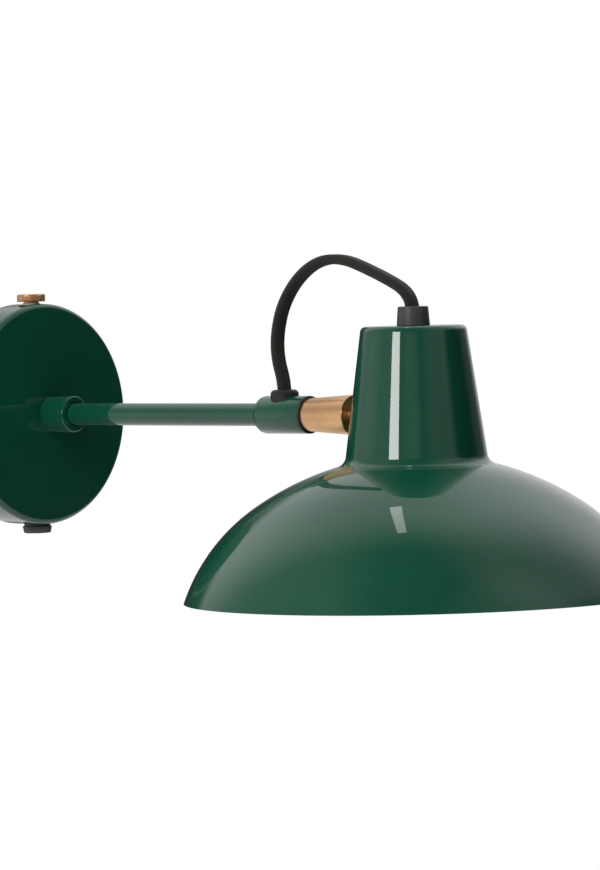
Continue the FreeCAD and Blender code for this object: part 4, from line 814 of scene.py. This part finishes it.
def dress_kept_nodes():
    """Give every solid that shows as it is its finish, in all of its material slots."""
    for name, nodes in KEPT_NODES.items():
        for node in nodes:
            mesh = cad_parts[node].data
            mesh.materials.clear()
            mesh.materials.append(material_for(name))


# ---- stage

def mirror_ray(tree, path):
    """1 for glossy and transmission rays, else 0."""
    either = add(tree, "Math", {0: path.outputs["Is Glossy Ray"],
                                1: path.outputs["Is Transmission Ray"]}, operation="MAXIMUM")
    return either.outputs[0]


FLOOR_GLOW = 0.55       # share of the floor, as camera and mirrors see it, that is plain white


def build_floor():
    """Pale floor well below the lamp, which hangs on a wall. The rest of what the camera and
    mirrors see of it is its lit surface with the lamp's shadow."""
    size, level = 1.3, -0.62
    corners = np.array([(-size, -size, level), (size, -size, level), (size, size, level),
                        (-size, size, level)])
    floor = store("floor", corners, [np.array([[0, 1, 2, 3]])])
    material, tree, shader = new_material("pale_floor", shade_of("f2f2f2"), 0.9)
    mottle(tree, shader, place_of(tree), 3, shade_of("f2f2f2"), 0.02)
    glow = add(tree, "Emission", Strength=1.0)
    path = add(tree, "LightPath")
    seen = add(tree, "Math", {0: mirror_ray(tree, path), 1: path.outputs["Is Camera Ray"]},
               operation="MAXIMUM")
    share = add(tree, "Math", {0: seen.outputs[0]}, operation="MULTIPLY")
    share.inputs[1].default_value = FLOOR_GLOW
    mix = add(tree, "MixShader", {"Fac": share.outputs[0], 1: shader.outputs["BSDF"],
                                  2: glow.outputs[0]})
    tree.links.new(mix.outputs[0], tree.nodes["Material Output"].inputs["Surface"])
    floor.data.materials.append(material)


# Soft bright or dark fields of the surroundings: degrees right of the camera, degrees up, the
# angles from the middle at which the field is full and gone, and how much it adds to the level.
# A field below nothing is a dark card: it takes that share of the light away.
SURROUNDINGS_LEVEL = 0.14
OTHER_RAYS_LEVEL = 0.16
FIELDS = [
    (180, 42, 30, 62, 0.66),
    (-92, 22, 26, 60, 0.36),
    (-90, 3, 5, 22, 0.22),
    (100, 42, 23, 53, 0.42),
    (48, 25, 14, 37, 0.24),
    (-8, 8, 4, 20, 0.35),
    (90, -42, 23, 53, 0.60),
    (-90, -45, 23, 60, 0.35),
    (90, -4, 20, 34, -0.97),
    (125, 0, 14, 26, -0.60),
    (-158, 5, 14, 24, -0.97),
]


def build_world():
    """White for the camera only. Mirror and glass rays see greys graded by the fields, most of
    them darker than the background, so reflections don't show its even white; other rays see
    one even grey."""
    world = bpy.data.worlds.new("studio")
    bpy.context.scene.world = world
    world.use_nodes = True
    world.cycles.sampling_method = "NONE"
    tree = world.node_tree
    way = add(tree, "TexCoord").outputs["Generated"]
    level = None
    for right, up, full, gone, strength in FIELDS:
        dot = add(tree, "VectorMath", {0: way}, operation="DOT_PRODUCT")
        dot.inputs[1].default_value = heading(right, up)
        dark = strength < 0
        nothing = 1.0 if dark else 0.0
        field = add(tree, "MapRange", {"Value": dot.outputs["Value"]},
                    interpolation_type="SMOOTHSTEP", From_Min=math.cos(math.radians(gone)),
                    From_Max=math.cos(math.radians(full)), To_Min=nothing,
                    To_Max=nothing + strength)
        joined = add(tree, "Math", {1: field.outputs["Result"]},
                     operation="MULTIPLY" if dark else "ADD")
        if level is None:
            joined.inputs[0].default_value = SURROUNDINGS_LEVEL
        else:
            tree.links.new(level, joined.inputs[0])
        level = joined.outputs[0]
    grey = tree.nodes["Background"]
    grey.inputs["Color"].default_value = WHITE
    grey.inputs["Strength"].default_value = OTHER_RAYS_LEVEL
    graded = add(tree, "Background", {"Strength": level}, Color=WHITE)
    white = add(tree, "Background", Color=WHITE, Strength=1.0)
    path = add(tree, "LightPath")
    inner = add(tree, "MixShader", {"Fac": mirror_ray(tree, path), 1: grey.outputs[0],
                                    2: graded.outputs[0]})
    outer = add(tree, "MixShader", {"Fac": path.outputs["Is Camera Ray"], 1: inner.outputs[0],
                                    2: white.outputs[0]})
    tree.links.new(outer.outputs[0], tree.nodes["World Output"].inputs["Surface"])


def heading(degrees_right, degrees_up):
    """Level-based direction from the lamp: degrees to the right of the camera, and up."""
    right, up, back = camera_axes()
    right = Vector((right.x, right.y, 0)).normalized()
    back = Vector((back.x, back.y, 0)).normalized()
    a, e = math.radians(degrees_right), math.radians(degrees_up)
    return (right * math.sin(a) + back * math.cos(a)) * math.cos(e) + Vector((0, 0, math.sin(e)))


def build_lamp(name, place, aim, size, power, mirrored):
    """A rectangular soft box at a place, aimed at a point. size is (across, up) in metres; for
    a box nearly overhead, up is the way from the camera to the lamp."""
    light = bpy.data.lights.new(name, "AREA")
    light.shape = "RECTANGLE"
    light.size, light.size_y = size
    light.energy = power
    obj = linked(name, light)
    obj.location = place
    facing = (Vector(place) - Vector(aim)).normalized()
    upward = Vector((0, 0, 1)) if abs(facing.z) < 0.95 else heading(180, 0)
    across = upward.cross(facing).normalized()
    turn = Matrix((across, facing.cross(across), facing)).transposed()
    obj.rotation_mode = "QUATERNION"
    obj.rotation_quaternion = turn.to_quaternion()
    obj.visible_glossy = mirrored


def camera_axes():
    """Right, up and back vectors of the photograph's camera, from its angles."""
    a, e, r = (math.radians(v) for v in (CAMERA_AZIMUTH, CAMERA_ELEVATION, CAMERA_ROLL))
    back = Vector((math.sin(a) * math.cos(e), -math.cos(a) * math.cos(e), math.sin(e)))
    right = Vector((math.cos(a), math.sin(a), 0))
    up = back.cross(right)
    return (math.cos(r) * right - math.sin(r) * up, math.sin(r) * right + math.cos(r) * up, back)


# Soft boxes round the lamp: name, degrees to the right of the camera, degrees up, distance (m),
# width and height (m), brightness of the box's face, where 1 is the white of the background,
# and whether it is mirrored in the enamel.
SOFT_BOXES = [
    ("strip", -36.8, 14.8, 1.5, 0.42, 0.23, 13.0, True),
    ("key", -30, 38, 2.0, 1.2, 1.2, 6.8, False),
    ("back_right", 150, 30, 2.0, 1.2, 1.2, 4.0, False),
    ("back_left", -130, 20, 2.0, 1.2, 1.2, 3.0, False),
    ("below", 10, -65, 1.2, 0.8, 0.8, 1.6, False),
    ("glint", -159, 80, 1.5, 0.08, 0.62, 3.2, True),
]


def build_lights():
    """Soft boxes that face the lamp. A box's power is its brightness times pi times its area."""
    aim = Vector((0.18, 0, 0))
    for name, right, up, distance, width, height, brightness, mirrored in SOFT_BOXES:
        build_lamp(name, aim + heading(right, up) * distance, aim, (width, height),
                   brightness * math.pi * width * height, mirrored)


def build_camera():
    """The photograph's camera: its distance and lens follow from the distance in pixels, and
    it looks along its back vector with the picture's middle on its axis."""
    scale = CAMERA_MM_PER_PIXEL * MM
    right, up, back = camera_axes()
    data = bpy.data.cameras.new("camera")
    data.sensor_width = SENSOR
    data.lens = SENSOR * CAMERA_DISTANCE / FRAME_HEIGHT
    data.clip_start, data.clip_end = 0.05, 50
    camera = linked("camera", data)
    u, v = CAMERA_CENTRE
    place = (-u * right - v * up + CAMERA_DISTANCE * back) * scale
    turn = Matrix((right, up, back)).transposed()
    camera.matrix_world = Matrix.Translation(place) @ turn.to_4x4()
    bpy.context.scene.camera = camera
    bpy.context.scene.view_settings.view_transform = "Standard"


# ---- add-on

def length(name, note, mm):
    """A length setting with its default in millimetres."""
    return bpy.props.FloatProperty(name=name, description=note, default=mm * MM, min=0.0001,
                                   max=1.0, unit="LENGTH", precision=5)


def colour(name, note, code):
    """A colour setting with its default as an sRGB hex code."""
    return bpy.props.FloatVectorProperty(name=name, description=note, subtype="COLOR", size=3,
                                         min=0, max=1, default=shade_of(code)[:3])


class WallLampSizes(bpy.types.PropertyGroup):
    """Sizes that a user may set for the lamp's finished surfaces."""
    cup_radius: length("Cup radius", "Outside radius of the wall cup", 50.5)
    cup_depth: length("Cup depth", "Wall to the flat land under the hub", CUP_FACE)
    cup_crown: length("Cup crown", "Radius of the sphere that crowns the cup's face", 350)
    hub_radius: length("Hub radius", "Outside radius of the hub on the cup", 8.25)
    tube_radius: length("Tube radius", "Outside radius of the arm's tube", 5.0)
    sleeve_radius: length("Sleeve radius", "Outside radius of the sleeve and its washer", 8.25)
    cone_start: length("Cone start", "Radius of the brass cone at the washer", 7.2)
    cone_end: length("Cone end", "Radius of the brass cone at the shade", 8.75)
    neck_radius: length("Neck radius", "Radius of the shade's neck at the arm's height", 27.86)
    rim_radius: length("Rim radius", "Outside radius of the shade's rim", 101.0)
    crown_radius: length("Crown radius", "Radius of the dome's upper arc", 124.9)
    shoulder_radius: length("Shoulder radius", "Radius of the dome's lower arc", 81.25)
    grip_radius: length("Grip radius", "Outside radius of the cord grip's foot", 7.15)
    knob_radius: length("Knob radius", "Outside radius of the knurled screw's head", 6.45)
    knurl_depth: length("Knurl depth", "Depth of the grooves round the knurled head", 0.28)
    knurl_count: bpy.props.IntProperty(
        name="Knurls", description="Number of grooves round the knurled head", default=48,
        min=12, max=90)
    button_radius: length("Button radius", "Radius of the push-button at its rim", 6.75)
    cord_width: length("Cord width", "Width of the flat cord", 6.9)
    cord_thickness: length("Cord thickness", "Thickness of the flat cord", 4.4)
    braid_step: length("Braid step", "Length of one repeat of the braid", 1.6)
    segments: bpy.props.IntProperty(
        name="Segments", description="Facets round each turned piece", default=256, min=32,
        max=512)


class WallLampColours(bpy.types.PropertyGroup):
    """Colours that a user may set."""
    enamel: colour("Enamel", "Green enamel of cup, arm and shade", "064531")
    reflector: colour("Reflector", "White enamel inside the shade", "eeece4")
    brass: colour("Brass", "Turned brass of the swivel and the knurled screw", "e0b283")
    plastic: colour("Plastic", "Black plastic of button and washer", "343736")
    grip: colour("Grip", "Satin black of the cord grip", "3a3d3c")
    rubber: colour("Rubber", "Black rubber of the grommet", "1d1d1d")
    cord: colour("Cord", "Braided textile of the cord", "262522")
    zinc: colour("Zinc", "Zinc-plated steel", "b4b7ba")
    resin: colour("Resin", "Phenolic resin of the lampholder", "1c1a17")
    ceramic: colour("Ceramic", "Glazed ceramic of the lampholder", "e4e1d6")
    nickel: colour("Nickel", "Nickel-plated brass of the contacts", "c4bcaa")
    nylon: colour("Nylon", "Natural nylon of the terminal block", "e8e6df")


class WALLLAMP_OT_cup(bpy.types.Operator):
    """Build the spun wall cup"""
    bl_idname = "wall_lamp.cup"
    bl_label = "Wall cup"

    def execute(self, context):
        build_wall_cup(context.scene.wall_lamp_sizes)
        return {"FINISHED"}


class WALLLAMP_OT_arm(bpy.types.Operator):
    """Build hub, tube, sleeve and friction washer"""
    bl_idname = "wall_lamp.arm"
    bl_label = "Arm"

    def execute(self, context):
        build_arm(context.scene.wall_lamp_sizes)
        return {"FINISHED"}


class WALLLAMP_OT_swivel(bpy.types.Operator):
    """Build the brass cone between arm and shade"""
    bl_idname = "wall_lamp.swivel"
    bl_label = "Swivel"

    def execute(self, context):
        build_swivel(context.scene.wall_lamp_sizes)
        return {"FINISHED"}


class WALLLAMP_OT_shade(bpy.types.Operator):
    """Build the enamelled dome shade"""
    bl_idname = "wall_lamp.shade"
    bl_label = "Shade"

    def execute(self, context):
        build_shade(context.scene.wall_lamp_sizes)
        return {"FINISHED"}


class WALLLAMP_OT_fittings(bpy.types.Operator):
    """Build grommet and cord grip"""
    bl_idname = "wall_lamp.fittings"
    bl_label = "Cord fittings"

    def execute(self, context):
        build_cord_fittings(context.scene.wall_lamp_sizes)
        return {"FINISHED"}


class WALLLAMP_OT_controls(bpy.types.Operator):
    """Build the knurled screw and the push-button"""
    bl_idname = "wall_lamp.controls"
    bl_label = "Controls"

    def execute(self, context):
        build_thumbscrew(context.scene.wall_lamp_sizes)
        build_button(context.scene.wall_lamp_sizes)
        return {"FINISHED"}


class WALLLAMP_OT_socket(bpy.types.Operator):
    """Build the lampholder's screw shell"""
    bl_idname = "wall_lamp.socket"
    bl_label = "Lamp socket"

    def execute(self, context):
        build_thread_shell()
        return {"FINISHED"}


class WALLLAMP_OT_cord(bpy.types.Operator):
    """Build the free braided cord and the hidden leads"""
    bl_idname = "wall_lamp.cord"
    bl_label = "Cord"

    def execute(self, context):
        build_cord(context.scene.wall_lamp_sizes)
        build_inner_cords(context.scene.wall_lamp_sizes)
        return {"FINISHED"}


class WALLLAMP_OT_inner(bpy.types.Operator):
    """Give the pieces kept as solids their finishes"""
    bl_idname = "wall_lamp.inner"
    bl_label = "Inner pieces"

    def execute(self, context):
        dress_kept_nodes()
        return {"FINISHED"}


class WALLLAMP_OT_stage(bpy.types.Operator):
    """Build camera, floor, surroundings and lights"""
    bl_idname = "wall_lamp.stage"
    bl_label = "Stage"

    def execute(self, context):
        build_camera()
        build_floor()
        build_world()
        build_lights()
        return {"FINISHED"}


OPERATORS = [WALLLAMP_OT_stage, WALLLAMP_OT_cord, WALLLAMP_OT_cup, WALLLAMP_OT_arm,
             WALLLAMP_OT_swivel, WALLLAMP_OT_shade, WALLLAMP_OT_fittings, WALLLAMP_OT_controls,
             WALLLAMP_OT_socket, WALLLAMP_OT_inner]


class WALLLAMP_PT_panel(bpy.types.Panel):
    """Settings of the lamp and buttons that build each group of it."""
    bl_label = "Wall lamp"
    bl_idname = "WALLLAMP_PT_panel"
    bl_space_type = "VIEW_3D"
    bl_region_type = "UI"
    bl_category = "Wall lamp"

    def draw(self, context):
        for group in (context.scene.wall_lamp_sizes, context.scene.wall_lamp_colours):
            column = self.layout.column()
            for name in type(group).__annotations__:
                column.prop(group, name)
        for kind in OPERATORS:
            self.layout.operator(kind.bl_idname)


CLASSES = [WallLampSizes, WallLampColours, *OPERATORS, WALLLAMP_PT_panel]


def register():
    """Add the settings, operators and panel to Blender."""
    for kind in CLASSES:
        bpy.utils.register_class(kind)
    bpy.types.Scene.wall_lamp_sizes = bpy.props.PointerProperty(type=WallLampSizes)
    bpy.types.Scene.wall_lamp_colours = bpy.props.PointerProperty(type=WallLampColours)


def unregister():
    """Take them out again."""
    del bpy.types.Scene.wall_lamp_sizes
    del bpy.types.Scene.wall_lamp_colours
    for kind in reversed(CLASSES):
        bpy.utils.unregister_class(kind)


def main():
    """Build every group, camera and cords first."""
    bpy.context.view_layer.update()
    register()
    for kind in OPERATORS:
        group, name = kind.bl_idname.split(".")
        getattr(getattr(bpy.ops, group), name)()
    bpy.context.view_layer.update()


if __name__ == "__main__":
    main()
